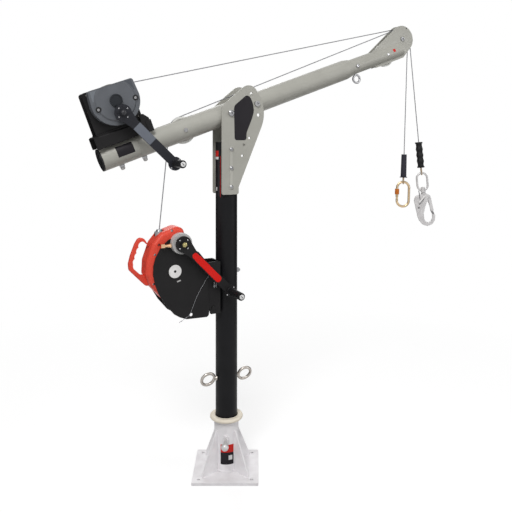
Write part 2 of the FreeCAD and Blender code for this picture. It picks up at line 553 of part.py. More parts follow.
# Telescopic inner tube with the two slotted cheeks, the sheaves and the ring below it.
def make_tip():
    tube = rod("inner_outer", "inner_d / 2", "inner_end - inner_tail", ("inner_tail", "0", "0"), "X")
    bore = rod("inner_bore", "inner_d / 2 - inner_wall", "inner_end", ("0", "0", "0"), "X")
    wide = "tip_gap / 2 + cheek_t + fit_gap"
    slot = block("inner_slot", ("inner_end", "2 * (%s)" % wide, "2 * inner_d"),
                 ("cheek_tail_s - fit_gap", "-(%s)" % wide, "-inner_d"))
    screw = across("inner_screw_hole", "side_screw_r + fit_gap", ("side_screw_s", "0"))
    eye_hole = rod("inner_eye_hole", "jib_eye_wire + fit_gap", "inner_d", ("jib_eye_s", "0", "-inner_d"))
    node("jib_inner_tube", cut("jib_inner_tube", tube, bore, slot, screw, eye_hole), "jib")
    toe = ("tip_axle_s + cheek_r * cos(cheek_toe_angle)", "tip_axle_t - cheek_r * sin(cheek_toe_angle)")
    back = ("tip_axle_s + cheek_r * cos(cheek_back_angle)", "tip_axle_t + cheek_r * sin(cheek_back_angle)")
    points = [("cheek_tail_s", "-cheek_low"), ("cheek_toe_s", "-cheek_low"), toe + (CHEEK_SHARE,), back,
              ("cheek_tail_s", "cheek_tail_t")]
    keeper = ("tip_axle_s + (cheek_r - keeper_in) * cos(keeper_angle)",
              "tip_axle_t + (cheek_r - keeper_in) * sin(keeper_angle)")
    axle = ("tip_axle_s", "tip_axle_t")
    guide = ("guide_s", "guide_t")
    cheeks = []
    for side, start in (("front", "-(tip_gap / 2 + cheek_t)"), ("back", "tip_gap / 2")):
        plate = slab("cheek_blank_" + side, points, start, "cheek_t")
        cheeks.append(cut("cheek_" + side, plate, across("cheek_axle_hole_" + side, "axle_r + fit_gap",
                                                         axle),
                          across("cheek_guide_hole_" + side, "axle_r + fit_gap", guide),
                          across("cheek_keeper_hole_" + side, "keeper_r + fit_gap", keeper)))
    node("tip_cheeks", group("tip_cheeks", *cheeks), "jib")
    for name, side in (("tip_sheave_front", "-"), ("tip_sheave_back", "")):
        at = ("tip_axle_s", side + "drop_spread", "tip_axle_t")
        node(name, sheave(name, "tip_sheave_r", "tip_sheave_w", at), "jib")
    node("tip_guide_pulley", sheave("tip_guide_pulley", "guide_r", "guide_w", ("guide_s", "0", "guide_t")),
         "jib")
    outer = "tip_gap / 2 + cheek_t"
    pins = [cross_bolt("tip_axle_bolt", "axle_r", "axle_head_r * 1.3", "axle_head_t * 1.5", outer, axle),
            cross_bolt("tip_guide_bolt", "axle_r", "axle_head_r", "axle_head_t", outer, guide),
            rod("tip_keeper_pin", "keeper_r", "2 * (%s)" % outer, (keeper[0], "-(%s)" % outer, keeper[1]),
                "Y"),
            cross_bolt("tip_side_screw", "side_screw_r", "side_screw_r * 1.5", "side_screw_r * 0.8",
                       "inner_d / 2", ("side_screw_s", "0"))]
    node("tip_axles", group("tip_axles", *pins), "jib")
    under = "-inner_d / 2"
    loop_up = "-(inner_d / 2 + jib_eye_drop)"
    loop = ring("jib_eye_loop", "jib_eye_r", "jib_eye_wire", ("jib_eye_s", "0", loop_up), "Y")
    stem = rod("jib_eye_stem", "jib_eye_wire", "jib_eye_drop - jib_eye_r + inner_wall * 2.5",
               ("jib_eye_s", "0", loop_up + " + jib_eye_r"))
    nut = soft_hex("jib_eye_nut", "jib_eye_wire * 1.8", "jib_eye_wire",
                   ("jib_eye_s", "0", under + " + inner_wall * 1.3"), "Z")
    node("jib_eye_bolt", join("jib_eye_bolt", loop, stem, nut), "jib")


def swung(name, obj, at, dip):
    """A piece drawn along +X from the origin, dipped towards -Z and carried to its place."""
    holder = group(name, obj)
    holder.Placement = Placement(Vector(), Rotation(AXES["Y"], value(dip)))
    holder.setExpression("Placement.Rotation.Angle", formula(dip))
    return put(holder, at)


# Winch base: a folded saddle over the jib, held by two bolts up through the tube.
def make_winch_base():
    run = "saddle_rear - saddle_fore"
    tall = "saddle_roof + saddle_t - saddle_skirt"
    shell = block("saddle_shell", (run, "2 * saddle_half", tall),
                  ("-saddle_rear", "-saddle_half", "saddle_skirt"))
    folds = [Vector(0, side * value("saddle_half"), value("saddle_roof + saddle_t")) for side in (1, -1)]
    shell = soften("saddle_folded", shell, "saddle_t * 1.6", "X", folds)
    collars = []
    for name, start in (("rear", "-saddle_rear - saddle_t"), ("fore", "-saddle_fore - saddle_t * 4")):
        blank = block("saddle_collar_blank_" + name, (
            "saddle_t * 5", "2 * saddle_half + saddle_t", "saddle_roof - saddle_skirt + saddle_t"),
                      (start, "-saddle_half - saddle_t / 2", "saddle_skirt - saddle_t / 2"))
        collars.append(soften("saddle_collar_" + name, blank, "saddle_t", "Y"))
    room = block("saddle_room", ("2 * (%s)" % run, "2 * (saddle_half - saddle_t)",
                                 "saddle_roof - saddle_skirt"),
                 ("-saddle_rear - (%s) / 2" % run, "-(saddle_half - saddle_t)", "saddle_skirt"))
    room_low = block("saddle_room_low", ("2 * (%s)" % run, "2 * (saddle_half - saddle_t)", "saddle_skirt"),
                     ("-saddle_rear - (%s) / 2" % run, "-(saddle_half - saddle_t)", "0"))
    ears = []
    for side, back in (("front", "-saddle_half"), ("back", "saddle_half - saddle_t")):
        ears.append(slab("saddle_ear_" + side, [
            ("-saddle_fore - saddle_t * 8", "saddle_roof"), ("-saddle_fore", "saddle_roof"),
            ("-saddle_fore", "saddle_roof + saddle_t * 2"),
            ("-saddle_fore - saddle_t * 3", "saddle_roof + saddle_t * 5.5", EAR_SHARE),
            ("-saddle_fore - saddle_t * 7", "saddle_roof + saddle_t * 5.5")], back, "saddle_t"))
    holes = [rod("saddle_hole_%d" % i, "clamp_bolt_r + fit_gap", "jib_d",
                 ("-" + place, "0", "saddle_roof - jib_d / 2"))
             for i, place in enumerate(CLAMP_BOLTS)]
    solid = join("saddle_solid", shell, *(ears + collars))
    node("winch_saddle", cut("winch_saddle", solid, room, room_low, *holes), "jib")
    bolts = []
    for i, place in enumerate(CLAMP_BOLTS):
        low = "-(jib_d / 2 + run_gap)"
        shank = rod("clamp_shank_%d" % i, "clamp_bolt_r", "jib_d / 2 + saddle_roof + saddle_t",
                    ("-" + place, "0", low))
        head = soft_hex("clamp_head_%d" % i, "clamp_bolt_r * 2", "clamp_bolt_r * 1.3",
                        ("-" + place, "0", low), "-Z")
        nut = soft_hex("clamp_nut_%d" % i, "clamp_bolt_r * 1.8", "clamp_bolt_r",
                       ("-" + place, "0", "saddle_roof + saddle_t"), "Z")
        sleeve = rod("clamp_sleeve_%d" % i, "clamp_bolt_r * 1.7", "saddle_roof - jib_d / 2 - run_gap * 2",
                     ("-" + place, "0", "jib_d / 2 + run_gap"))
        bolts.append(join("clamp_bolt_%d" % i, shank, head, nut, sleeve))
    node("winch_clamp_bolts", group("winch_clamp_bolts", *bolts), "jib")


CLAMP_BOLTS = ("clamp_rear_s", "clamp_fore_s")
DRUM = ("-winch_s", "winch_t")
HUB = ("-winch_s + hub_ahead", "winch_t - hub_drop")
GEAR_Y = "-(frame_half + frame_t + gear_w * 1.6)"
SPACERS = (("-frame_rear + standoff_r * 2.4", "winch_t + cover_top - standoff_r * 1.6"),
           ("-frame_rear + standoff_r * 2.4", "winch_t - standoff_r * 1.5"),
           ("-frame_fore - standoff_r * 1.6", "saddle_roof + standoff_r * 3.5"))
COVER_SCREWS = (("-winch_s - cover_r * 0.78", "winch_t - cover_r * 0.14"),
                ("-winch_s + cover_r * 0.79", "winch_t - cover_r * 0.14"))


def cover_outline(wall):
    """The gear cover's outline: round below, flat on top, drawn in by a wall."""
    side = "(cover_r - %s)" % wall
    half = "(cover_half - %s)" % wall
    top = "winch_t + cover_top - " + wall
    return [("-winch_s - " + half, top), ("-winch_s - " + side, "winch_t", QUARTER_SHARE),
            ("-winch_s", "winch_t - " + side, QUARTER_SHARE), ("-winch_s + " + side, "winch_t"),
            ("-winch_s + " + half, top)]


# Winch: side frames, spacers, rope drum with its gear, and the moulded gear cover.
def make_winch():
    low = "saddle_roof + saddle_t"
    top = "winch_t + cover_top"
    frames = []
    for side, back in (("front", "-(frame_half + frame_t)"), ("back", "frame_half")):
        plate = slab("frame_blank_" + side, [
            ("-frame_rear", low), ("-frame_fore", low), ("-frame_fore", top), ("-frame_rear", top)],
                     back, "frame_t")
        spots = [spot(x, top) for x in ("-frame_rear", "-frame_fore")]
        plate = soften("frame_rounded_" + side, plate, "cover_corner_r", "Y", spots)
        holes = [across("frame_spacer_hole_%s_%d" % (side, i), "standoff_r * 0.5 + fit_gap", at)
                 for i, at in enumerate(SPACERS)]
        holes += [across("frame_shaft_hole_" + side, "crank_shaft_r + run_gap", DRUM),
                  across("frame_crank_hole_" + side, "crank_shaft_r + run_gap", HUB)]
        foot = block("frame_foot_" + side, ("frame_rear - frame_fore", "frame_t * 4", "frame_t"),
                     ("-frame_rear", "-(frame_half + frame_t * 4)" if side == "front" else "frame_half",
                      low))
        frames.append(cut("frame_" + side, join("frame_solid_" + side, plate, foot), *holes))
    node("winch_frame", group("winch_frame", *frames), "jib")
    spacers = []
    for i, at in enumerate(SPACERS):
        tube = rod("spacer_%d" % i, "standoff_r", "2 * frame_half", (at[0], "-frame_half", at[1]), "Y")
        pin = rod("spacer_pin_%d" % i, "standoff_r * 0.5", "2 * (frame_half + frame_t)",
                  (at[0], "-(frame_half + frame_t)", at[1]), "Y")
        nut = soft_hex("spacer_nut_%d" % i, "standoff_r * 0.9", "frame_t",
                       (at[0], "frame_half + frame_t", at[1]), "Y")
        spacers.append(join("spacer_post_%d" % i, tube, pin, nut))
    inside = "frame_half - run_gap * 5"
    core = rod("drum_core", "drum_core_r", "2 * (%s)" % inside, (DRUM[0], "-(%s)" % inside, DRUM[1]), "Y")
    rims = [rod("drum_rim_" + way, "drum_flange_r", "drum_flange_t", (DRUM[0], at, DRUM[1]), way)
            for way, at in (("Y", "-(%s)" % inside), ("-Y", inside))]
    shaft = rod("drum_shaft", "crank_shaft_r", "2 * frame_half + 2 * frame_t + gear_w * 2.4",
                (DRUM[0], "-(frame_half + frame_t + gear_w * 2.4)", DRUM[1]), "Y")
    wheel = gear("drum_gear", "gear_teeth", GEAR_Y, DRUM, 0)
    wound = rod("drum_wound", "wound_r", "2 * (%s - drum_flange_t)" % inside,
                (DRUM[0], "-(%s - drum_flange_t)" % inside, DRUM[1]), "Y")
    node("winch_drum", join("winch_drum", core, shaft, wheel, wound, *rims), "jib")
    face = "-cover_face_y"
    depth = "cover_face_y - frame_half - frame_t"
    shell = slab("cover_shell", cover_outline("0"), face + " + cover_wall * 2", depth + " - cover_wall * 2")
    shell = soften("cover_shell_soft", shell, "cover_corner_r", "Y",
                   [spot("-winch_s %s cover_half" % s, "winch_t + cover_top") for s in ("-", "+")])
    dome = cone("cover_dome", "cover_r * 0.84", "cover_r * 0.78", "cover_wall * 2",
                (DRUM[0], face + " + cover_wall * 2", DRUM[1]), "-Y")
    dome = common("cover_dome_flat", dome, slab("cover_dome_room", cover_outline("cover_wall * 2"), face,
                                                "cover_wall * 2"))
    cap = rod("cover_cap", "cap_r", "cap_t", (DRUM[0], face, DRUM[1]), "-Y")
    cap_dish = rod("cover_cap_dish", "cap_r * 0.8", "cap_t / 3", (DRUM[0], face + " - cap_t", DRUM[1]), "Y")
    room = slab("cover_room", cover_outline("cover_wall"), face + " + cover_wall * 3", depth)
    hub_hole = across("cover_hub_hole", "crank_shaft_r + run_gap * 3", HUB, "cover_face_y * 2")
    wells = [rod("cover_well_%d" % i, "standoff_r * 1.2", "cover_wall * 2", (at[0], face, at[1]), "Y")
             for i, at in enumerate(COVER_SCREWS)]
    posts = [rod("cover_post_%d" % i, "standoff_r * 1.6", depth + " - cover_wall * 2",
                 (at[0], face + " + cover_wall * 2", at[1]), "Y") for i, at in enumerate(COVER_SCREWS)]
    posts.append(rod("cover_bearing", "crank_shaft_r * 2.2", "cover_wall * 4",
                     (HUB[0], face + " + cover_wall", HUB[1]), "Y"))
    hollow = cut("cover_hollow", join("cover_solid", shell, dome, cap), room)
    node("winch_cover", cut("winch_cover", join("cover_with_posts", hollow, *posts), hub_hole, cap_dish,
                            *wells), "jib")
    screws = spacers
    for i, at in enumerate(COVER_SCREWS):
        head = rod("cover_screw_head_%d" % i, "standoff_r * 0.8", "cover_wall * 1.2",
                   (at[0], face + " + cover_wall * 2", at[1]), "-Y")
        slot = soft_hex("cover_screw_slot_%d" % i, "standoff_r * 0.4", "cover_wall",
                        (at[0], face + " + cover_wall * 1.4", at[1]), "-Y")
        screws.append(cut("cover_screw_%d" % i, head, slot))
    node("winch_hardware", group("winch_hardware", *screws), "jib")


PRESSURE_ANGLE = 20
FLANK_STEPS = 4
BACKLASH_SHARE = 0.06
ADDENDUM_SHARE = 0.85
DEDENDUM_SHARE = 1.2


def gear(name, teeth, y, at, turn):
    """A spur gear with involute flanks, its axis along Y."""
    count = int(SIZE[teeth])
    module = SIZE["gear_module"]
    pitch_r = module * count / 2
    base_r = pitch_r * math.cos(math.radians(PRESSURE_ANGLE))
    tip_r = pitch_r + module * ADDENDUM_SHARE
    root_r = pitch_r - module * DEDENDUM_SHARE
    start_r = max(base_r, root_r)

    def spread(radius):
        ratio = max(radius / base_r, 1)
        return math.sqrt(ratio * ratio - 1) - math.acos(1 / ratio)

    half = math.pi / count * (0.5 - BACKLASH_SHARE) + spread(pitch_r)
    flank = []
    for step in range(FLANK_STEPS + 1):
        radius = start_r + (tip_r - start_r) * step / FLANK_STEPS
        flank.append((radius, half - spread(radius)))
    points = []
    for tooth in range(count):
        middle = 2 * math.pi * tooth / count + math.radians(turn)
        points.append((root_r, middle - flank[0][1]))
        points += [(radius, middle - angle) for radius, angle in flank]
        points += [(radius, middle + angle) for radius, angle in reversed(flank)]
        points.append((root_r, middle + flank[0][1]))
    ring_points = [Vector(r * math.cos(a), 0, r * math.sin(a)) for r, a in points]
    clean = [ring_points[0]]
    for point in ring_points[1:]:
        if (point - clean[-1]).Length > module * BACKLASH_SHARE:
            clean.append(point)
    wire = Part.makePolygon(clean + [clean[0]])
    wheel = doc.addObject("Part::Feature", name)
    wheel.Shape = Part.Face(wire).extrude(AXES["Y"] * SIZE["gear_w"])
    return put(wheel, (at[0], y, at[1]), Rotation())


def crank_arm(name, length, width, hub_r, end_r, thick, grip_pin):
    """A crank along +X from its shaft at the origin: hub, arm, end disc, rivets and grip pin."""
    hub = rod(name + "_hub", hub_r, thick, ORIGIN, "-Y")
    shoulder, half = "(%s) * 0.95" % hub_r, "(%s) / 2" % width
    arm = slab(name + "_bar", [
        ("0", shoulder), ("(%s) * 1.8" % hub_r, half), (length, half), (length, "-" + half),
        ("(%s) * 1.8" % hub_r, "-" + half), ("0", "-" + shoulder)], "-(%s)" % thick, thick)
    end = rod(name + "_end", end_r, thick, (length, "0", "0"), "-Y")
    boss = rod(name + "_boss", "(%s) * 0.42" % hub_r, thick, ("0", "-(%s)" % thick, "0"), "-Y")
    nut = soft_hex(name + "_nut", "(%s) * 0.3" % hub_r, thick, ("0", "-(%s) * 1.6" % thick, "0"), "-Y")
    pieces = [hub, arm, end, boss, nut]
    spread = "(%s) * 0.5" % hub_r
    for i, (sx, sz) in enumerate(((1, 1), (-1, 1), (-1, -1), (1, -1))):
        pieces.append(rod("%s_rivet_%d" % (name, i), "rivet_r", "rivet_r * 0.4",
                          ("%d * %s" % (sx, spread), "-(%s)" % thick, "%d * %s" % (sz, spread)), "-Y"))
    for i, sz in enumerate((1, -1)):
        pieces.append(rod("%s_end_rivet_%d" % (name, i), "rivet_r", "rivet_r * 0.4",
                          (length, "-(%s)" % thick, "%d * (%s - rivet_r * 1.3)" % (sz, end_r)), "-Y"))
    reach = "%s + grip_pin_r" % grip_pin
    pieces.append(rod(name + "_pin", "grip_pin_r", reach, (length, "-(%s)" % thick, "0"), "-Y"))
    pieces.append(rod(name + "_pin_head", "grip_pin_r * 1.8", "grip_pin_r * 0.6",
                      (length, "-(%s + %s)" % (thick, reach), "0"), "Y"))
    return join(name + "_solid", *pieces)


def crank_grip(name, length, thick, grip_len):
    """A round handgrip on the crank's pin, with ribs and a rim round the pin's head."""
    gap = "run_gap * 2"
    start = "-(%s + %s)" % (thick, gap)
    body = rod(name + "_body", "grip_r", grip_len, (length, start, "0"), "-Y")
    rim = ring(name + "_rim", "grip_r * 0.92", "grip_r * 0.14", (length, start + " - grip_r * 0.2", "0"),
               "Y")
    bore = rod(name + "_bore", "grip_pin_r + run_gap", "grip_len * 2", (length, "0", "0"), "-Y")
    cup = rod(name + "_cup", "grip_pin_r * 1.8 + run_gap", "grip_pin_r * 3",
              (length, "-(%s + %s - grip_pin_r * 0.2)" % (thick, grip_len), "0"), "-Y")
    return cut(name + "_solid", join(name + "_blank", body, rim), bore, cup)


# The winch's crank and its free-turning grip.
def make_winch_crank():
    at = (HUB[0], "-crank_y", HUB[1])
    arm = crank_arm("winch_arm", "crank_len", "crank_w", "crank_hub_r", "crank_end_r", "crank_t",
                    "grip_len")
    crank_shaft = rod("crank_shaft", "crank_shaft_r", "crank_y - frame_half", (HUB[0], "-crank_y", HUB[1]),
                      "Y")
    pinion = gear("winch_pinion", "pinion_teeth", GEAR_Y, HUB, HALF / SIZE["pinion_teeth"])
    shaft = join("winch_pinion_shaft", crank_shaft, pinion)
    node("winch_crank", group("winch_crank", swung("winch_arm_placed", arm, at, "winch_crank_dip"), shaft),
         "jib")
    panel = slab("winch_panel_blank", band_outline("crank_len", "crank_w"), "-(crank_t + panel_t)",
                 "panel_t")
    node("winch_crank_panel", group("winch_crank_panel",
                                    swung("winch_panel_placed", panel, at, "winch_crank_dip")), "jib")
    grip = crank_grip("winch_handgrip", "crank_len", "crank_t", "grip_len")
    node("winch_crank_grip", group("winch_crank_grip",
                                   swung("winch_grip_placed", grip, at, "winch_crank_dip")), "jib")


def picked_soft(name, base, radius, wanted):
    """Round the edges of a shape whose bounding box a test accepts."""
    doc.recompute()
    size = value(radius)
    obj = doc.addObject("Part::Fillet", name)
    obj.Base = base
    obj.Edges = [(number, size, size) for number, edge in enumerate(base.Shape.Edges, start=1)
                 if wanted(edge.BoundBox)]
    return obj


def moulded(name, points, back, thickness, corner, rim):
    """An outline made solid towards +Y, with rounded corners and rounded front and back rims."""
    close = value("fit_gap")
    blank = slab(name + "_blank", points, back, thickness)
    cornered = picked_soft(name + "_cornered", blank, corner,
                           lambda box: box.YLength > value(thickness) - close)
    levels = (value(back), value("%s + %s" % (back, thickness)))
    return picked_soft(name, cornered, rim, lambda box: box.YLength < close and min(
        abs(box.YMin - level) for level in levels) < close)


def cord(name, runs, radius):
    """A round cord along straight runs and arcs that meet end to end, swept in one piece."""
    edges = []
    for run in runs:
        spots = [Vector(*p) for p in run]
        curve = Part.LineSegment(*spots) if len(spots) == 2 else Part.Arc(*spots)
        edges.append(curve.toShape())
    wire = Part.Wire(edges)
    start = edges[0]
    heading = start.tangentAt(start.FirstParameter)
    profile = Part.Wire([Part.makeCircle(radius, Vector(*runs[0][0]), heading)])
    tube = wire.makePipeShell([profile], True, False)
    expected = math.pi * radius * radius * wire.Length
    print("%s: %.0f mm of cord, radius %.2f, volume %.4f of its length times its section" % (
        name, wire.Length, radius, tube.Volume / expected))
    obj = doc.addObject("Part::Feature", name)
    obj.Shape = tube
    return obj


# Lifeline block outlines: places as shares of the cavity's radius from the drum's centre.
# A third share makes an arc to the next place.
HOUSING_SHARES = (
    (0.55, 1.4), (0.45, 1.88), (0.12, 1.95), (-0.6, 1.7), (-0.97, 1.26), (-1.24, 0.49), (-1.27, -0.1),
    (-1.1, -0.56), (-0.53, -1.2), (-0.02, -1.63), (0.43, -2.04), (0.9, -2.04), (1.05, -0.3), (0.95, 0.95))
SIDE_PLATE_SHARES = (
    (-0.22, 1.46), (-0.62, 1.11), (-0.86, 0.68), (-0.97, 0.3), (-0.98, -0.1), (-0.9, -0.5), (-0.74, -0.93),
    (-0.46, -1.4), (-0.02, -1.92), (0.24, -2.08), (0.55, -2.2), (1.62, -2.22), (1.65, -1.84),
    (1.56, -0.35), (1.47, 0.35), (1.14, 0.76))
HANDLE_SHARES = (
    (-0.9, 0.9), (-1.23, 1.44), (-1.47, 1.57), (-1.67, 1.25), (-1.86, 0.75), (-1.95, 0.4),
    (-1.93, 0.12), (-1.3, -0.52), (-0.9, -0.9))
GRIP_SHARES = (
    (-0.9, 1.0), (-1.24, 1.3, 0.8), (-1.42, 1.32, 0.75), (-1.51, 1.09, 0.75), (-1.6, 0.85, 0.75),
    (-1.68, 0.61, 0.75), (-1.745, 0.37, 1.2), (-1.72, 0.17), (-1.42, -0.12), (-1.05, -0.2))
SCREW_SHARES = ((-0.7, 1.2), (-0.88, 0.78), (-0.1, 1.78), (0.42, 1.62), (-0.93, -0.5), (-0.2, -1.32))


def from_shares(table, x="-block_x", z="block_up", unit="cavity_r"):
    """Turn a table of shares into outline places round a centre."""
    return [("%s + %s * %s" % (x, row[0], unit), "%s + %s * %s" % (z, row[1], unit)) + tuple(row[2:])
            for row in table]


# Lifeline block: two moulded shells with a handle, steel side plates, drum and shaft.
def make_block():
    full = "2 * block_half"
    solid = moulded("shell_outline", from_shares(HOUSING_SHARES), "-block_half", full,
                    "shell_corner_r", "shell_rim_r")
    handle = moulded("shell_handle", from_shares(HANDLE_SHARES), "-handle_t / 2", "handle_t",
                     "handle_t * 0.9", "handle_t * 0.25")
    grip = slab("shell_handle_hole", from_shares(GRIP_SHARES), "-handle_t", "2 * handle_t")
    body = slab("shell_outline_again", from_shares(HOUSING_SHARES), "-handle_t", "2 * handle_t")
    handle = cut("shell_handle_open", handle, cut("shell_hole_clear", grip, body))
    centre = ("-block_x", "block_up")
    cavity = rod("shell_cavity", "cavity_r", full + " - 4 * side_t",
                 (centre[0], "-block_half + 2 * side_t", centre[1]), "Y")
    bore = across("shell_bore", "shaft_cap_r * 0.5 + run_gap", centre, "block_half * 2")
    mouth = rod("shell_mouth", "nozzle_r * 0.45", "cavity_r * 2", ("-nozzle_x", "0", "block_up"), "Z")
    seat = rod("shell_nozzle_seat", "nozzle_r", "cavity_r",
               ("-nozzle_x", "0", "nozzle_up - nozzle_len * 0.5"), "Z")
    crank_bore = rod("shell_crank_bore", "crank_shaft_r + run_gap", "block_half - 2 * side_t - side_t",
                     ("-crank_x", "-block_half", "crank_up"), "Y")
    wells = []
    for i, place in enumerate(from_shares(SCREW_SHARES)):
        for side, way in (("-block_half", "Y"), ("block_half", "-Y")):
            wells.append(rod("shell_well_%d%s" % (i, way[0]), "block_screw_r + fit_gap",
                             "block_half * 0.42",
                             (place[0], side, place[1]), way))
    whole = cut("shell_whole", join("shell_blank", solid, handle), cavity, bore, mouth, seat, crank_bore,
                *wells)
    reach = "8 * block_half"
    shells = []
    for side, back in (("front", "-(%s)" % reach), ("back", "0")):
        half = block("shell_half_" + side, (reach, reach, reach),
                     ("-block_x - (%s) / 2" % reach, back, "block_up - (%s) / 2" % reach))
        shells.append(common("block_shell_" + side, whole, half))
    node("block_shells", group("block_shells", *shells))
    screws = []
    for i, place in enumerate(from_shares(SCREW_SHARES)):
        for side, way in (("-", "-Y"), ("", "Y")):
            tail = rod("block_screw_%d%s" % (i, way[0]), "block_screw_r * 0.9", "block_half * 0.25",
                       (place[0], side + "block_half * 0.59", place[1]), way)
            socket = soft_hex("block_screw_key_%d%s" % (i, way[0]), "block_screw_r * 0.5", "block_half",
                              (place[0], side + "block_half * 0.78", place[1]), way)
            screws.append(cut("block_screw_cut_%d%s" % (i, way[0]), tail, socket))
    node("block_screws", group("block_screws", *screws))
    for side, back in (("front", "-(block_half + side_t)"), ("back", "block_half")):
        blank = moulded("side_blank_" + side, from_shares(SIDE_PLATE_SHARES), back, "side_t",
                        "side_t * 3", "side_t * 0.2")
        level = "-(block_half + side_t)" if side == "front" else "block_half + side_t"
        tools = [across("side_bore_" + side, "shaft_cap_r * 0.5 + run_gap", centre, "block_half * 2"),
                 across("side_spare_hole_" + side, "spare_hole_r",
                        ("-block_x + 0.77 * cavity_r", "block_up - 2.02 * cavity_r"), "block_half * 2")]
        if side == "front":
            tools.append(across("side_boss_hole", "boss_disc_r + fit_gap", ("-crank_x", "crank_up"),
                                "block_half * 2"))
        slot = block("side_slot_" + side, ("slot_len", "4 * block_half", "slot_len * 0.3"),
                     ("-block_x + 0.19 * cavity_r - slot_len / 2", "-2 * block_half",
                      "block_up - 0.48 * cavity_r"))
        node("block_plate_" + side, cut("block_plate_" + side, blank, slot, *tools))
    half_w = "block_drum_w / 2"
    drum = [rod("block_core", "block_drum_r * 0.5", "block_drum_w", (centre[0], "-" + half_w, centre[1]),
                "Y"),
            rod("block_cheek_front", "block_drum_r", "side_t", (centre[0], "-" + half_w, centre[1]), "Y"),
            rod("block_cheek_back", "block_drum_r", "side_t", (centre[0], half_w, centre[1]), "-Y"),
            rod("block_wound", "block_line_r", "block_drum_w - 2 * side_t",
                (centre[0], "-%s + side_t" % half_w, centre[1]), "Y")]
    outer = "block_half + side_t + shaft_cap_t"
    shaft = rod("block_shaft", "shaft_cap_r * 0.5", "2 * (%s)" % outer,
                (centre[0], "-(%s)" % outer, centre[1]), "Y")
    ends = []
    for side, way in (("-", "-Y"), ("", "Y")):
        start = side + "(block_half + side_t + run_gap)"
        disc = rod("shaft_disc" + way, "shaft_cap_r", "shaft_cap_t", (centre[0], start, centre[1]), way)
        dish = rod("shaft_dish" + way, "shaft_cap_r * 0.2", "shaft_cap_t",
                   (centre[0], side + "(block_half + side_t + shaft_cap_t * 0.6)", centre[1]), way)
        ends.append(cut("shaft_end" + way, disc, dish))
    node("block_drum", cut("block_drum", join("block_drum_solid", shaft, *(drum + ends)),
                           rod("shaft_key_front", "shaft_cap_r * 0.2", "shaft_cap_t",
                               (centre[0], "-(%s)" % outer, centre[1]), "Y")))
    flange = rod("nozzle_flange", "nozzle_r", "nozzle_len",
                 ("-nozzle_x", "0", "nozzle_up - nozzle_len * 0.5"), "Z")
    cap = cone("nozzle_cap", "nozzle_r * 0.8", "nozzle_r * 0.5", "nozzle_len * 0.5",
               ("-nozzle_x", "0", "nozzle_up + nozzle_len * 0.5"), "Z")
    bore = rod("nozzle_bore", "rope_r + run_gap * 4", "nozzle_len * 4",
               ("-nozzle_x", "0", "nozzle_up - nozzle_len"), "Z")
    node("block_nozzle", cut("block_nozzle", join("nozzle_solid", flange, cap), bore))


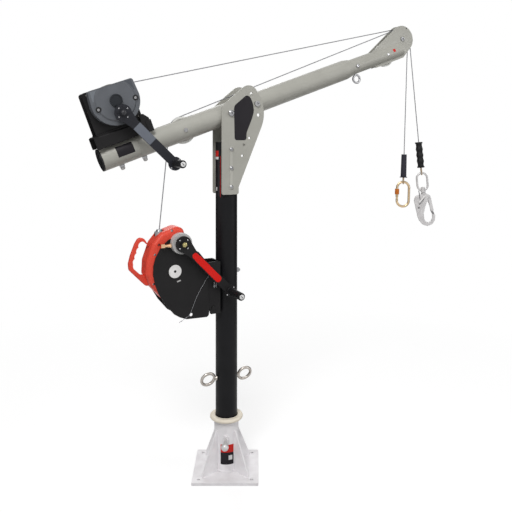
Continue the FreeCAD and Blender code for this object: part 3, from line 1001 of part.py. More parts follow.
# The bracket on the mast and the pins that hold the block's foot between its ears.
def make_bracket():
    web = block("bracket_web", ("bracket_t", "2 * bracket_half + 2 * bracket_t",
                                "bracket_high - bracket_low"),
                ("-mast_d / 2 - fit_gap - bracket_t", "-bracket_half - bracket_t", "bracket_low"))
    ears = []
    for side, back in (("front", "-bracket_half - bracket_t"), ("back", "bracket_half")):
        ear = slab("bracket_ear_" + side, [
            ("-mast_d / 2 - bracket_t", "bracket_low"), ("-mast_d / 2 - bracket_t", "bracket_high"),
            ("-ear_reach + bracket_t * 2", "bracket_high"), ("-ear_reach", "bracket_high - bracket_t * 2"),
            ("-ear_reach", "bracket_low + bracket_t * 8"),
            ("-hitch_x - bracket_t * 3", "bracket_low + bracket_t * 4"),
            ("-hitch_x - bracket_t * 3", "bracket_low + bracket_t", NOTCH_SHARE),
            ("-hitch_x - bracket_t", "bracket_low")],
            back, "bracket_t")
        ears.append(ear)
    holes = [across("bracket_hole_" + name, "hitch_r + run_gap", ("-hitch_x", place))
             for name, place in (("high", "hitch_up"), ("low", "hitch_low"))]
    for i, height in enumerate(BRACKET_BOLTS):
        holes.append(rod("bracket_bolt_hole_%d" % i, "bracket_bolt_r + fit_gap", "mast_d",
                         ("-mast_d", "0", height), "X"))
    node("mast_bracket", cut("mast_bracket", join("bracket_solid", web, *ears), *holes))
    bolts = []
    for i, height in enumerate(BRACKET_BOLTS):
        start = "-mast_d / 2 - fit_gap - bracket_t"
        shank = rod("bracket_shank_%d" % i, "bracket_bolt_r", "mast_d + bracket_t + bracket_bolt_r * 3",
                    (start, "0", height), "X")
        head = rod("bracket_head_%d" % i, "bracket_bolt_r * 1.8", "bracket_bolt_r * 0.8",
                   (start, "0", height), "-X")
        nut = soft_hex("bracket_nut_%d" % i, "bracket_bolt_r * 1.9", "bracket_bolt_r * 1.5",
                       ("mast_d / 2 + bracket_t / 2", "0", height), "X")
        washer = rod("bracket_washer_%d" % i, "bracket_bolt_r * 1.9", "bracket_t / 2",
                     ("mast_d / 2", "0", height), "X")
        bolts.append(join("bracket_bolt_%d" % i, shank, head, nut, washer))
    outer = "bracket_half + bracket_t"
    shank = rod("low_pin_shank", "hitch_r", "2 * (%s)" % outer, ("-hitch_x", "-(%s)" % outer, "hitch_low"),
                "Y")
    heads = [rod("low_pin_head" + way, "hitch_r * 1.6", "hitch_r * 0.6",
                 ("-hitch_x", side + "(%s)" % outer, "hitch_low"), way)
             for side, way in (("-", "-Y"), ("", "Y"))]
    bolts.append(join("low_pin", shank, *heads))
    node("bracket_bolts", group("bracket_bolts", *bolts))
    front, back = "-block_x + cavity_r", "-hitch_x + hitch_r * 3.3"
    low, high = "hitch_low - hitch_r * 2.3", "bracket_high - bracket_t * 4"
    foot = slab("foot_blank", [
        (front, "block_up + cavity_r * 0.3"), (front, low), (back, low), (back, high + " - bracket_t * 3"),
        (back + " - bracket_t * 3", high)], "-block_half", "2 * block_half")
    tall = "2 * (bracket_high - bracket_low)"
    rooms = [block("foot_room_" + side, ("ear_reach * 2", "block_half", tall),
                   ("-ear_reach - run_gap * 4", back, "bracket_low - ear_reach"))
             for side, back in (("front", "-block_half - bracket_half + run_gap"),
                                ("back", "bracket_half - run_gap"))]
    housing = slab("foot_housing", from_shares(HOUSING_SHARES), "-block_half * 2", "4 * block_half")
    cavity = block("foot_hollow", ("hitch_x", "bracket_half", tall),
                   ("-hitch_x - hitch_r * 3.5 - hitch_x", "-bracket_half / 2", "bracket_low - ear_reach"))
    pins = [across("foot_hole_" + name, "hitch_r + run_gap", ("-hitch_x", place))
            for name, place in (("high", "hitch_up"), ("low", "hitch_low"))]
    node("block_foot", cut("block_foot", foot, housing, cavity, *(rooms + pins)))
    outer = "bracket_half + bracket_t"
    pin = rod("hitch_shank", "hitch_r", "2 * (%s) + hitch_tail * 1.5" % outer,
              ("-hitch_x", "-(%s) - hitch_tail" % outer, "hitch_up"), "Y")
    head = rod("hitch_head", "hitch_r * 1.7", "hitch_tail * 0.4",
               ("-hitch_x", outer + " + run_gap", "hitch_up"), "Y")
    hole = rod("hitch_clip_hole", "clip_wire_r + fit_gap", "hitch_r * 4",
               ("-hitch_x", "-(%s) - hitch_tail * 0.5" % outer, "hitch_up - hitch_r * 2"), "Z")
    pull = ring("hitch_ring", "hitch_r * 1.8", "clip_wire_r",
                ("-hitch_x", "%s + hitch_tail * 0.5 + hitch_r * 1.8" % outer, "hitch_up"), "X")
    pin = cut("hitch_pin_drilled", join("hitch_solid", pin, head, pull), hole)
    y = -value("%s + hitch_tail * 0.5" % outer)
    x, z, bend = value("-hitch_x"), value("hitch_up"), value("clip_bend_r")
    top, low = z + value("hitch_r") + bend, z - value("hitch_r") - bend
    runs = [((x, y, low), (x, y, top)), ((x, y, top), (x + bend, y, top + bend), (x + 2 * bend, y, top)),
            ((x + 2 * bend, y, top), (x + 2 * bend, y, low))]
    node("hitch_pin", group("hitch_pin", pin, cord("hitch_clip", runs, value("clip_wire_r"))))


# The block's rescue crank, its boss, the pull knob that engages it, and its free-turning grip.
def make_block_crank():
    face = "block_half"
    boss = rod("boss_disc", "boss_disc_r", "block_crank_y - crank_t * 1.6 - block_half",
               ("-crank_x", "-" + face, "crank_up"), "-Y")
    bore = rod("boss_bore", "crank_shaft_r + run_gap", "block_crank_y * 2", ("-crank_x", "0", "crank_up"),
               "-Y")
    knob_at = ("-crank_x - boss_disc_r * 0.5", "-(block_half + boss_disc_r * 0.45)",
               "crank_up - boss_disc_r * 0.15")
    well = rod("boss_knob_well", "knob_r * 0.5 + run_gap", "boss_disc_r", knob_at, "-X")
    node("block_crank_boss", cut("block_crank_boss", boss, bore, well))
    stem = rod("knob_stem", "knob_r * 0.5", "boss_disc_r * 0.5 + knob_len * 0.5", knob_at, "-X")
    start = "-crank_x - boss_disc_r - knob_pull * 0.3"
    cap = [rod("knob_neck", "knob_r * 0.8", "knob_len * 0.3", (start, knob_at[1], knob_at[2]), "-X"),
           rod("knob_waist", "knob_r * 0.6", "knob_len * 0.6", (start, knob_at[1], knob_at[2]), "-X"),
           rod("knob_cap", "knob_r", "knob_len * 0.35",
               (start + " - knob_len * 0.55", knob_at[1], knob_at[2]), "-X"),
           rod("knob_band", "knob_r", "knob_len * 0.12", (start, knob_at[1], knob_at[2]), "-X")]
    node("block_shift_knob", join("block_shift_knob", stem, *cap))
    at = ("-crank_x", "-block_crank_y", "crank_up")
    arm = crank_arm("block_arm", "block_crank_len", "block_crank_w", "crank_hub_r", "crank_end_r * 0.9",
                    "crank_t", "block_grip_len")
    shaft = rod("block_crank_shaft", "crank_shaft_r", "block_crank_y - block_half * 0.75", ORIGIN, "Y")
    node("block_crank", group("block_crank",
                              swung("block_arm_placed", join("block_arm_on_shaft", arm, shaft), at,
                                    "block_crank_dip")))
    panel = slab("block_panel_blank", panel_outline("block_crank_len", "block_crank_w"),
                 "-(crank_t + panel_t)", "panel_t")
    node("block_crank_panel", group("block_crank_panel",
                                    swung("block_panel_placed", panel, at, "block_crank_dip")))
    grip = crank_grip("block_handgrip", "block_crank_len", "crank_t", "block_grip_len")
    node("block_crank_grip", group("block_crank_grip",
                                   swung("block_grip_placed", grip, at, "block_crank_dip")))


def band_outline(length, width):
    """A square-ended band across a crank's arm, between a quarter and just past half of it."""
    start, stop, half = "%s * 0.25" % length, "%s * 0.56" % length, "%s / 2" % width
    return [(start, half), (stop, half), (stop, "-" + half), (start, "-" + half)]


def panel_outline(length, width):
    """A rounded strip along a crank's arm between about a fifth and two thirds of it."""
    half = "%s * 0.36" % width
    start, stop = "%s * 0.24" % length, "%s * 0.66" % length
    return [(start, half, QUARTER_SHARE), ("%s - %s" % (start, half), "0", QUARTER_SHARE),
            (start, "-" + half), (stop, "-" + half, QUARTER_SHARE),
            ("%s + %s" % (stop, half), "0", QUARTER_SHARE), (stop, half)]


def turned(angle, reach):
    """A step of a given reach at an angle up from +X, in the XZ plane."""
    return Vector(reach * math.cos(angle), 0, reach * math.sin(angle))


def over_tangent(first, r_first, second, r_second):
    """Where a rope over the tops of two sheaves touches each, and its normal's angle."""
    span = second - first
    normal = math.atan2(span.z, span.x) + math.acos((r_first - r_second) / math.hypot(span.x, span.z))
    return first + turned(normal, r_first), second + turned(normal, r_second), normal


def to_world(s, t):
    """A place in the jib's own frame, in the world's XZ plane."""
    tilt = math.radians(value("jib_angle"))
    return Vector(s * math.cos(tilt) - t * math.sin(tilt), 0,
                  value("pivot_up") + s * math.sin(tilt) + t * math.cos(tilt))


TIP = ("tip_axle_s * cos(jib_angle) - tip_axle_t * sin(jib_angle)",
       "pivot_up + tip_axle_s * sin(jib_angle) + tip_axle_t * cos(jib_angle)")
TIP_PITCH = "(tip_sheave_r - groove_sink)"
REAR_PITCH = "(rear_sheave_r - groove_sink)"
WOUND_PITCH = "(wound_r + rope_r + run_gap)"


def shifted(points, y):
    return [(p.x, y, p.z) for p in points]


# The runs of both ropes from winch and lifeline block over the sheaves to the jib's tip.
def make_runs():
    rope = value("rope_r")
    tip = to_world(value("tip_axle_s"), value("tip_axle_t"))
    drum = to_world(-value("winch_s"), value("winch_t"))
    rear = to_world(-value("sheave_back"), 0)
    tip_r, rear_r = value(TIP_PITCH), value(REAR_PITCH)
    spread = value("drop_spread")

    start, touch, normal = over_tangent(drum, value(WOUND_PITCH), tip, tip_r)
    end = -math.radians(value("left_lean"))
    arc = [tip + turned(a, tip_r) for a in (normal, (normal + end) / 2, end)]
    node("winch_line_run", cord("winch_line_run", [shifted((start, touch), spread), shifted(arc, spread)],
                                rope))

    nozzle = Vector(-value("nozzle_x"), 0, value("nozzle_up + nozzle_len"))
    span = rear - nozzle
    reach = math.hypot(span.x, span.z)
    side = math.atan2(-span.z, -span.x) - math.acos(rear_r / reach)
    left = rear + turned(side, rear_r)
    node("lifeline_riser", cord("lifeline_riser", [shifted((nozzle, left), 0)], rope))

    start, touch, normal = over_tangent(rear, rear_r, tip, tip_r)
    back = side + math.radians(TURN)
    over = [rear + turned(a, rear_r) for a in (back, (back + normal) / 2, normal)]
    end = math.radians(value("right_lean"))
    arc = [tip + turned(a, tip_r) for a in (normal, (normal + end) / 2, end)]
    runs = [shifted(over, 0), [(start.x, 0, start.z), (touch.x, -spread, touch.z)], shifted(arc, -spread)]
    node("lifeline_run", cord("lifeline_run", runs, rope))


def hang(name, obj, lean, y):
    """Carry a piece drawn down -Z from the tip sheave's tangent point to where its line hangs."""
    holder = group(name, obj)
    tilt = Rotation(AXES["Y"], value(lean))
    face = Rotation(AXES["Z"], -value("end_facing"))
    holder.Placement = Placement(Vector(), tilt.multiply(face))
    put(holder, ("%s + %s * cos(%s)" % (TIP[0], TIP_PITCH, lean), y,
                 "%s - %s * sin(%s)" % (TIP[1], TIP_PITCH, lean)))
    node(name, holder)


def eye_loop(name, drop, low):
    """A thimble's wire loop across the ring it carries: two legs and a half circle."""
    r, z, top = value("loop_r"), value(low), value("%s + %s" % (low, drop))
    return cord(name, [((0, -r, top), (0, -r, z)), ((0, -r, z), (0, 0, z - r), (0, r, z)),
                       ((0, r, z), (0, r, top))], value("loop_wire_r"))


def oval(half_w, top, low, gap=None):
    """The path of an oval ring, or of one whose left side is open between two heights."""
    w, z1, z2 = half_w, top - half_w, low + half_w
    right = [((-w, 0, z1), (0, 0, top), (w, 0, z1)), ((w, 0, z1), (w, 0, z2)),
             ((w, 0, z2), (0, 0, low), (-w, 0, z2))]
    if gap is None:
        return right + [((-w, 0, z2), (-w, 0, z1))]
    return [((-w, 0, gap[1]), (-w, 0, z1))] + right + [((-w, 0, z2), (-w, 0, gap[0]))]


# Left line: rope, rubber grip, thimble and an oval screw-gate carabiner.
def make_left_line():
    y = "drop_spread"
    grip_end = "-left_len - left_grip_len"
    loop_z = grip_end + " - left_loop_drop"
    rope = rod("left_rope", "rope_r", "left_len", ("0", "0", "-left_len"))
    hang("left_line", group("left_line_parts", rope, eye_loop("left_eye", "left_loop_drop", loop_z)),
         "left_lean", y)
    flange = rod("left_flange", "grip_flange_r", "grip_flange_t", ("0", "0", grip_end))
    sleeve = cone("left_sleeve", "left_grip_r * 1.05", "left_grip_r * 0.95", "left_grip_len",
                  ("0", "0", grip_end))
    hang("left_grip", join("left_grip_solid", flange, sleeve), "left_lean", y)
    r = value("carabiner_wire_r")
    top = value(loop_z + " - loop_r + loop_wire_r + run_gap + carabiner_wire_r")
    low = top - value("carabiner_len") + 2 * r
    half = value("carabiner_w") / 2 - r
    middle = (top + low) / 2
    span = value("gate_len") / 2
    gap = (middle - span * 0.9, middle + span * 1.1)
    hang("carabiner", cord("carabiner_ring", oval(half, top, low, gap), r), "left_lean", y)
    left = "-(carabiner_w / 2 - carabiner_wire_r)"
    gate_low, gate_high = str(gap[0]), str(gap[1])
    room, bar_r = "run_gap * 2", "carabiner_wire_r * 0.85"
    hinge = "%s + %s + %s" % (gate_low, room, bar_r)
    bar = rod("gate_bar", bar_r, "gate_len - 2 * %s - %s" % (room, bar_r), (left, "0", hinge))
    end = ball("gate_ball", bar_r, (left, "0", hinge))
    pin = across("gate_pin", "carabiner_wire_r * 0.3", (left, hinge), "carabiner_wire_r * 0.95")
    knurl = rod("gate_knurl", "carabiner_wire_r * 1.1", "gate_len * 0.25",
                (left, "0", "%s + gate_len * 0.16" % gate_low))
    sleeve = rod("gate_sleeve", "sleeve_r", "sleeve_len",
                 (left, "0", "%s - sleeve_len - gate_len * 0.05" % gate_high))
    gate = join("carabiner_gate_solid", bar, end, pin, knurl, sleeve)
    hang("carabiner_gate", gate, "left_lean", y)


# Hook outlines: places as shares of the hook's length from the middle of its top.
HOOK_SHARES = (
    (0.085, 0.0), (-0.085, 0.0), (-0.25, -0.06), (-0.3, -0.18), (-0.235, -0.7), (-0.2, -0.81),
    (-0.11, -0.94), (0.03, -1.0), (0.17, -0.96), (0.27, -0.85), (0.295, -0.7), (0.245, -0.575),
    (0.21, -0.63), (0.205, -0.77), (0.15, -0.86), (0.06, -0.895), (-0.005, -0.86), (-0.045, -0.77),
    (-0.045, -0.6), (0.02, -0.39), (0.08, -0.27), (0.2, -0.2), (0.2, -0.08))
GATE_SHARES = ((0.205, -0.15), (0.125, -0.15), (0.14, -0.3), (0.19, -0.562), (0.255, -0.545))
GATE_HINGE_SHARES = ((0.165, -0.15),)
RIBBED_SHARES = (
    (0, 1.0), (0.04, 1.0), (0.05, 0.82), (0.14, 0.8), (0.25, 0.98), (0.37, 0.8), (0.49, 0.98),
    (0.61, 0.8), (0.73, 0.98), (0.84, 0.8), (0.94, 0.82), (0.95, 1.0), (1, 1.0))
LATCH_SHARES = ((-0.16, -0.52), (-0.2, -0.6), (-0.06, -0.3), (0.03, -0.1), (0.07, -0.13), (-0.02, -0.33))


# Right line: lifeline, ribbed grip, thimble, swivel bow and a double-locking snap hook.
def make_right_line():
    y = "-drop_spread"
    lean = "-right_lean"
    grip_end = "-right_len - right_grip_len"
    loop_z = grip_end + " - right_loop_drop"
    rope = rod("right_rope", "rope_r", "right_len", ("0", "0", "-right_len"))
    hang("right_line", group("right_line_parts", rope, eye_loop("right_eye", "right_loop_drop", loop_z)),
         lean, y)
    rows = [("0", grip_end)]
    for share, wide in RIBBED_SHARES:
        rows.append(("grip_flange_r * %s" % wide, "%s + right_grip_len * %s" % (grip_end, share)))
    rows.append(("0", "-right_len"))
    hang("right_grip", lathe("right_grip_solid", rows), lean, y)
    r = value("bow_wire_r")
    top = value(loop_z + " - loop_r + loop_wire_r + run_gap + bow_wire_r")
    low = top - value("bow_len") + 2 * r
    bow = cord("bow_ring", oval(value("bow_w / 2 - bow_wire_r"), top, low), r)
    seat = str(low)
    boss = rod("bow_boss", "hook_boss_r", "hook_boss_len", ("0", "0", "%s - hook_boss_len / 2" % seat))
    bore = rod("bow_bore", "hook_stud_r + run_gap", "hook_boss_len * 2",
               ("0", "0", "%s - hook_boss_len" % seat))
    hang("hook_bow", cut("hook_bow_solid", join("hook_bow_blank", bow, boss), bore), lean, y)
    hook_top = "%s - hook_boss_len / 2 - hook_neck" % seat
    body = moulded("hook_blank", from_shares(HOOK_SHARES, "0", hook_top, "hook_len"), "-hook_t / 2",
                   "hook_t", "hook_t * 0.3", "hook_t * 0.2")
    stud = rod("hook_stud", "hook_stud_r", "hook_boss_len * 1.2 + hook_neck + hook_stud_r",
               ("0", "0", hook_top + " - hook_stud_r * 0.5"))
    collar = rod("hook_collar", "hook_boss_r", "hook_neck * 0.7",
                 ("0", "0", hook_top + " - hook_neck * 0.1"))
    cap = rod("hook_stud_cap", "hook_boss_r * 0.85", "hook_boss_len * 0.35",
              ("0", "0", "%s + hook_boss_len / 2 + run_gap" % seat))
    latch = slab("hook_latch", from_shares(LATCH_SHARES, "0", hook_top, "hook_len"), "-hook_t * 0.64",
                 "hook_t * 1.28")
    hinge = from_shares(GATE_HINGE_SHARES, "0", hook_top, "hook_len")[0]
    gate_pin = across("hook_gate_pin", "hook_t * 0.2", hinge, "hook_t * 0.8")
    hang("hook_body", join("hook_body_solid", body, stud, collar, cap, latch, gate_pin), lean, y)
    wide = "hook_t * 0.75"
    bar = slab("hook_gate_bar", from_shares(GATE_SHARES, "0", hook_top, "hook_len"), "-" + wide,
               "2 * " + wide)
    eye = across("hook_gate_eye", "hook_len * 0.04", hinge, wide)
    fork = across("hook_gate_fork", "hook_len * 0.2", hinge, "hook_t / 2 + run_gap")
    pin_hole = across("hook_gate_bore", "hook_t * 0.2 + run_gap", hinge, "hook_t * 2")
    hang("hook_gate", cut("hook_gate_solid", join("hook_gate_blank", bar, eye), fork, pin_hole), lean, y)


# The thin wire that keeps the hitch pin with the block: a bowed run, then a straight tail.
def make_lanyard():
    y = -value("block_half + side_t + lanyard_r * 2.2 + fit_gap")
    high, low = [spot(*place) for place in from_shares(LANYARD_SHARES)]
    radius = value("lanyard_bow_r")
    chord = low - high
    middle = (high + low) / 2
    across_chord = Vector(chord.z, 0, -chord.x).normalize()
    rise = radius - math.sqrt(radius * radius - chord.Length * chord.Length / 4)
    bow = middle + across_chord * rise
    centre = middle - across_chord * (radius - rise)
    heading = Vector(low.z - centre.z, 0, centre.x - low.x).normalize()
    if heading.dot(chord) < 0:
        heading = -heading
    tail = low + heading * value("lanyard_tail")
    wire = cord("lanyard_wire", [shifted((high, bow, low), y), shifted((low, tail), y)], value("lanyard_r"))
    angle = math.degrees(math.atan2(-heading.z, heading.x))
    ferrule = doc.addObject("Part::Cylinder", "lanyard_ferrule")
    ferrule.setExpression("Radius", formula("lanyard_r * 2.2"))
    ferrule.setExpression("Height", formula("lanyard_tail * 0.3"))
    ferrule.Placement = Placement(Vector(low.x, y, low.z), Rotation(AXES["Y"], QUARTER + angle))
    node("pin_lanyard", join("pin_lanyard", wire, ferrule))


LANYARD_SHARES = ((1.5, -0.35), (0.72, -1.88))


def check_and_write():
    """Recompute, test every object, and write each sub-part's solid under its own name."""
    doc.recompute()
    broken = [o.Name for o in doc.Objects if "Invalid" in o.State or "Error" in o.State]
    if broken:
        raise SystemExit("objects that did not build: " + ", ".join(broken))
    os.makedirs("parts", exist_ok=True)
    for obj in nodes:
        shape = obj.Shape
        if shape.isNull() or not shape.isValid():
            raise SystemExit("no valid shape: " + obj.Label)
        shape.exportStep("parts/%s.step" % obj.Label)
    print(len(nodes), "sub-parts written")


make_base()
make_lock_screw()
make_mast()
make_head()
make_lock_pin()
make_jib()
make_tip()
make_winch_base()
make_winch()
make_winch_crank()
make_block()
make_bracket()
make_block_crank()
make_runs()
make_left_line()
make_right_line()
make_lanyard()
check_and_write()
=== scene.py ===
"""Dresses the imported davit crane: paints, metals, plastics, ropes, small mouldings and a pale studio."""
import json
import math

import bpy
from mathutils import Matrix, Vector
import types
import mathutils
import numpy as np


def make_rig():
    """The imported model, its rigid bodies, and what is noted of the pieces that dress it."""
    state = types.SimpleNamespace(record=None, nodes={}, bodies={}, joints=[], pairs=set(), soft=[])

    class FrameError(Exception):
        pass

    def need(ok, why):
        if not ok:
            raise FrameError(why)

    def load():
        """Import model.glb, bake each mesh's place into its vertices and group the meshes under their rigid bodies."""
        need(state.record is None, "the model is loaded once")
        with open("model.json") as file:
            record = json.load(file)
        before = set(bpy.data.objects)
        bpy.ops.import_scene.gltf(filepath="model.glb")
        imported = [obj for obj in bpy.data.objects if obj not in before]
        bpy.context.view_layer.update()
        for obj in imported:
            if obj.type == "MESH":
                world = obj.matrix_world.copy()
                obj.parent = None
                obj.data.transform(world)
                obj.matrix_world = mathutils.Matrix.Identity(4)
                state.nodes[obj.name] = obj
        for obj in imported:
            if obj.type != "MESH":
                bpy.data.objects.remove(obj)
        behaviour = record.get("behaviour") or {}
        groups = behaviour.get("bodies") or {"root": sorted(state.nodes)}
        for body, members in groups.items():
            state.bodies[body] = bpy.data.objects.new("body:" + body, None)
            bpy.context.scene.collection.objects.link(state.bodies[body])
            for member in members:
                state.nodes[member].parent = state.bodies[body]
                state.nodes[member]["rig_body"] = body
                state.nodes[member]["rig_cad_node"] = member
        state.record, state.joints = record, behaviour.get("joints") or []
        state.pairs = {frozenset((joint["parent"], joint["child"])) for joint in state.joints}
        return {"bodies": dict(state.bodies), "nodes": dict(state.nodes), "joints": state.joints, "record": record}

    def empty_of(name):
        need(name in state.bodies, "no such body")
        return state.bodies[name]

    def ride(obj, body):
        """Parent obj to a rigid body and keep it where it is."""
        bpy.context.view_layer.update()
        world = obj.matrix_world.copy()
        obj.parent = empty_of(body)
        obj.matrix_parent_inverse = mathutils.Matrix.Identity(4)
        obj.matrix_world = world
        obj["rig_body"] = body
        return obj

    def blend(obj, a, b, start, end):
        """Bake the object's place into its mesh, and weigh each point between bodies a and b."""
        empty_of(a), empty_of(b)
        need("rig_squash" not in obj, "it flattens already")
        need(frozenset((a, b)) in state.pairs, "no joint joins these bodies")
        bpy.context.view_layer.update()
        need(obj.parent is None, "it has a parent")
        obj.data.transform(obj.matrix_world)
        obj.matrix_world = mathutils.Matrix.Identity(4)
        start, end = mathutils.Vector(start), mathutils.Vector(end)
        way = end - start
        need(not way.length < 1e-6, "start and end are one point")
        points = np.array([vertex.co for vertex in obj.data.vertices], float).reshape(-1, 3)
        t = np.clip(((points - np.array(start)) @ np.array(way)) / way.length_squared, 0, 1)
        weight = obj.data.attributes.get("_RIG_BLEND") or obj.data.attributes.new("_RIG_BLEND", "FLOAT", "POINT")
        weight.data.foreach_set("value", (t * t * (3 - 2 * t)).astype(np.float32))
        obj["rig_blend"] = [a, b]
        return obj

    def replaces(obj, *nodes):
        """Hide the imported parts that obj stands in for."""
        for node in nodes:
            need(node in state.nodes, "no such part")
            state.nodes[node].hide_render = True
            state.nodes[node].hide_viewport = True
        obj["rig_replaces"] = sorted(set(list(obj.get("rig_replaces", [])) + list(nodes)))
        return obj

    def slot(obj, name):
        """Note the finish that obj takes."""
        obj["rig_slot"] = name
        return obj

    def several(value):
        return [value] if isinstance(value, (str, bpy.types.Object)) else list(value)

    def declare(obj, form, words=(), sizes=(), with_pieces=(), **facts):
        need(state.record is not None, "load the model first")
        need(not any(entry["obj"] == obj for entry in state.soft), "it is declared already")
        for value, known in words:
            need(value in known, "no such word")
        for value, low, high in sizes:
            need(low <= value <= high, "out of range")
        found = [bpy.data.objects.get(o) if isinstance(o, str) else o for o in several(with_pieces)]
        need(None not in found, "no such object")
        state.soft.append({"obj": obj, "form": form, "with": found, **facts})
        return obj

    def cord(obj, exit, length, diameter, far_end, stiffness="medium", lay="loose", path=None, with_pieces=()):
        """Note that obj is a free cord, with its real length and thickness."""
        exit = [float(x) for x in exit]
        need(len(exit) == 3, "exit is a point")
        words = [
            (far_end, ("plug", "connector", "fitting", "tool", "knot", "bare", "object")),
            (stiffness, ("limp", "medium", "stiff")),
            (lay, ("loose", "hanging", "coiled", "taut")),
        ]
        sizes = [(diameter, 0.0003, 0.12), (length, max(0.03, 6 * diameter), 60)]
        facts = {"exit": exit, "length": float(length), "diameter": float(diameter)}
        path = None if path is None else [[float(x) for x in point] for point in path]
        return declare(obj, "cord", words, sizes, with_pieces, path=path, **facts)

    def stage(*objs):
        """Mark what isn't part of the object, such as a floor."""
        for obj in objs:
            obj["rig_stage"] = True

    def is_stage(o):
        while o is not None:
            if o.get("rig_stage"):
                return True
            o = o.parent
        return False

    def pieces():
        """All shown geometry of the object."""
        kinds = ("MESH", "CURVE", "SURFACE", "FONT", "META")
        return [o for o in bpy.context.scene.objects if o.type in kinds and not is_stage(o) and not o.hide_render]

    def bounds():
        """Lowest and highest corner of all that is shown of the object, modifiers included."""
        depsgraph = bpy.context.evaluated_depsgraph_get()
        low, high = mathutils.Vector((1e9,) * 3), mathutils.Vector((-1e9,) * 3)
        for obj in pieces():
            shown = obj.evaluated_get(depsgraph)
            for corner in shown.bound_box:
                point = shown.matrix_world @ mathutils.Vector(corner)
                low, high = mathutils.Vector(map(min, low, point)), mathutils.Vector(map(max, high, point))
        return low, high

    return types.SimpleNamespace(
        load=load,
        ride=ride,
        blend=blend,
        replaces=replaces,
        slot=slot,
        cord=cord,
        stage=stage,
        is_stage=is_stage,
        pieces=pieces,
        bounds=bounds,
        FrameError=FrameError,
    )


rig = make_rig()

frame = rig.load()
NODES = frame["nodes"]
JOINTS = {joint["name"]: joint for joint in frame["joints"]}


def save_size(label, sizes):
    lo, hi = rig.bounds()
    sizes[label] = [list(lo), list(hi)]
    with open("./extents.json", "w") as handle:
        json.dump(sizes, handle)


SIZES = {}
save_size("frame", SIZES)


def put(name, data):
    """A new object in the scene."""
    obj = bpy.data.objects.new(name, data)
    bpy.context.scene.collection.objects.link(obj)
    return obj


def aim(obj, way):
    """Turn a camera or a lamp to look along a direction."""
    obj.rotation_mode = "QUATERNION"
    obj.rotation_quaternion = way.to_track_quat("-Z", "Y")


# Camera: level, with a shift that sets the crane low in the picture, as photographed

PICTURE_PX = 512
FOCAL_PX = 605.6
SHIFT_PX = 111
SENSOR_MM = 36
VIEW = math.radians(26)
CAMERA_AWAY = 2.85
CAMERA_ASIDE = 0.1393
CAMERA_HIGH = 1.52
LOOK = Vector((math.sin(VIEW), math.cos(VIEW), 0))
ACROSS = Vector((math.cos(VIEW), -math.sin(VIEW), 0))

camera = put("camera", bpy.data.cameras.new("camera"))
camera.data.sensor_width = SENSOR_MM
camera.data.lens = FOCAL_PX / PICTURE_PX * SENSOR_MM
camera.data.shift_y = -SHIFT_PX / PICTURE_PX
camera.data.clip_start = 0.05
camera.data.clip_end = 200
camera.location = -LOOK * CAMERA_AWAY + ACROSS * CAMERA_ASIDE + Vector((0, 0, CAMERA_HIGH))
aim(camera, LOOK)
bpy.context.scene.camera = camera
bpy.context.scene.view_settings.view_transform = "Standard"

# Directions and places on the crane, in metres, from the frame's joints, and the radii of its tubes


def joint_place(name):
    """Where a joint's axis crosses the crane's middle plane."""
    place = Vector(JOINTS[name]["pos_m"])
    place.y = 0
    return place


X, Y, Z = Vector((1, 0, 0)), Vector((0, 1, 0)), Vector((0, 0, 1))
FOOT = Vector((0, 0, 0))
SOCKET_R, MAST_R, JIB_R, INNER_TUBE_R = 0.057, 0.0508, 0.05, 0.04
PIVOT = joint_place("jib_tilt")
JIB_ALONG = Vector(JOINTS["jib_extend"]["axis"]).normalized()
JIB_UP = JIB_ALONG.cross(Y)
BLOCK = joint_place("lifeline_drum_turn")


def by_jib(origin, along, up, y=0.0):
    """A place given along and square to the jib from another one, and y across it."""
    return origin + JIB_ALONG * along + JIB_UP * up + Y * y


def turned(first, second, angle):
    """The direction at an angle from the first of two square directions to the second."""
    return first * math.cos(angle) + second * math.sin(angle)


# Materials


def linear(rgb):
    """Take a colour as seen on screen, 0 to 255, to the renderer's own values."""
    out = []
    for value in rgb:
        c = value / 255
        out.append(c / 12.92 if c <= 0.04045 else ((c + 0.055) / 1.055) ** 2.4)
    return (*out, 1.0)


class Tree:
    """A material's nodes with short calls to add and join them."""

    def __init__(self, name):
        self.material = bpy.data.materials.new(name)
        self.material.use_nodes = True
        self.nodes = self.material.node_tree.nodes
        self.links = self.material.node_tree.links
        self.shader = self.nodes["Principled BSDF"]

    def add(self, kind, **values):
        made = self.nodes.new("ShaderNode" + kind)
        for key, value in values.items():
            if hasattr(made, key):
                setattr(made, key, value)
            else:
                made.inputs[key.replace("_", " ")].default_value = value
        return made

    def join(self, a, out, b, into):
        self.links.new(a.outputs[out], b.inputs[into])

    def set(self, **values):
        for key, value in values.items():
            self.shader.inputs[key.replace("_", " ")].default_value = value
        return self

    def noise(self, scale, detail):
        """A noise on the object's own coordinates."""
        place = self.add("TexCoord")
        noise = self.add("TexNoise", Scale=scale, Detail=detail)
        self.join(place, "Object", noise, "Vector")
        return noise

    def rough(self, low, high, scale):
        """Let a noise carry the roughness between two values."""
        noise = self.noise(scale, 4.0)
        spread = self.add("MapRange", From_Min=0.3, From_Max=0.7, To_Min=low, To_Max=high)
        self.join(noise, "Fac", spread, "Value")
        self.join(spread, "Result", self.shader, "Roughness")
        return self

    def colour(self, first, second, scale):
        """Let a noise mix two colours given as seen on screen."""
        noise = self.noise(scale, 5.0)
        ramp = self.add("ValToRGB")
        for element, position, rgb in zip(ramp.color_ramp.elements, (0.35, 0.65), (first, second)):
            element.position = position
            element.color = linear(rgb)
        self.join(noise, "Fac", ramp, "Fac")
        self.join(ramp, "Color", self.shader, "Base Color")
        return self

    def bump(self, scale, strength, distance):
        noise = self.noise(scale, 2.0)
        bump = self.add("Bump", Strength=strength, Distance=distance)
        self.join(noise, "Fac", bump, "Height")
        self.join(bump, "Normal", self.shader, "Normal")
        return self


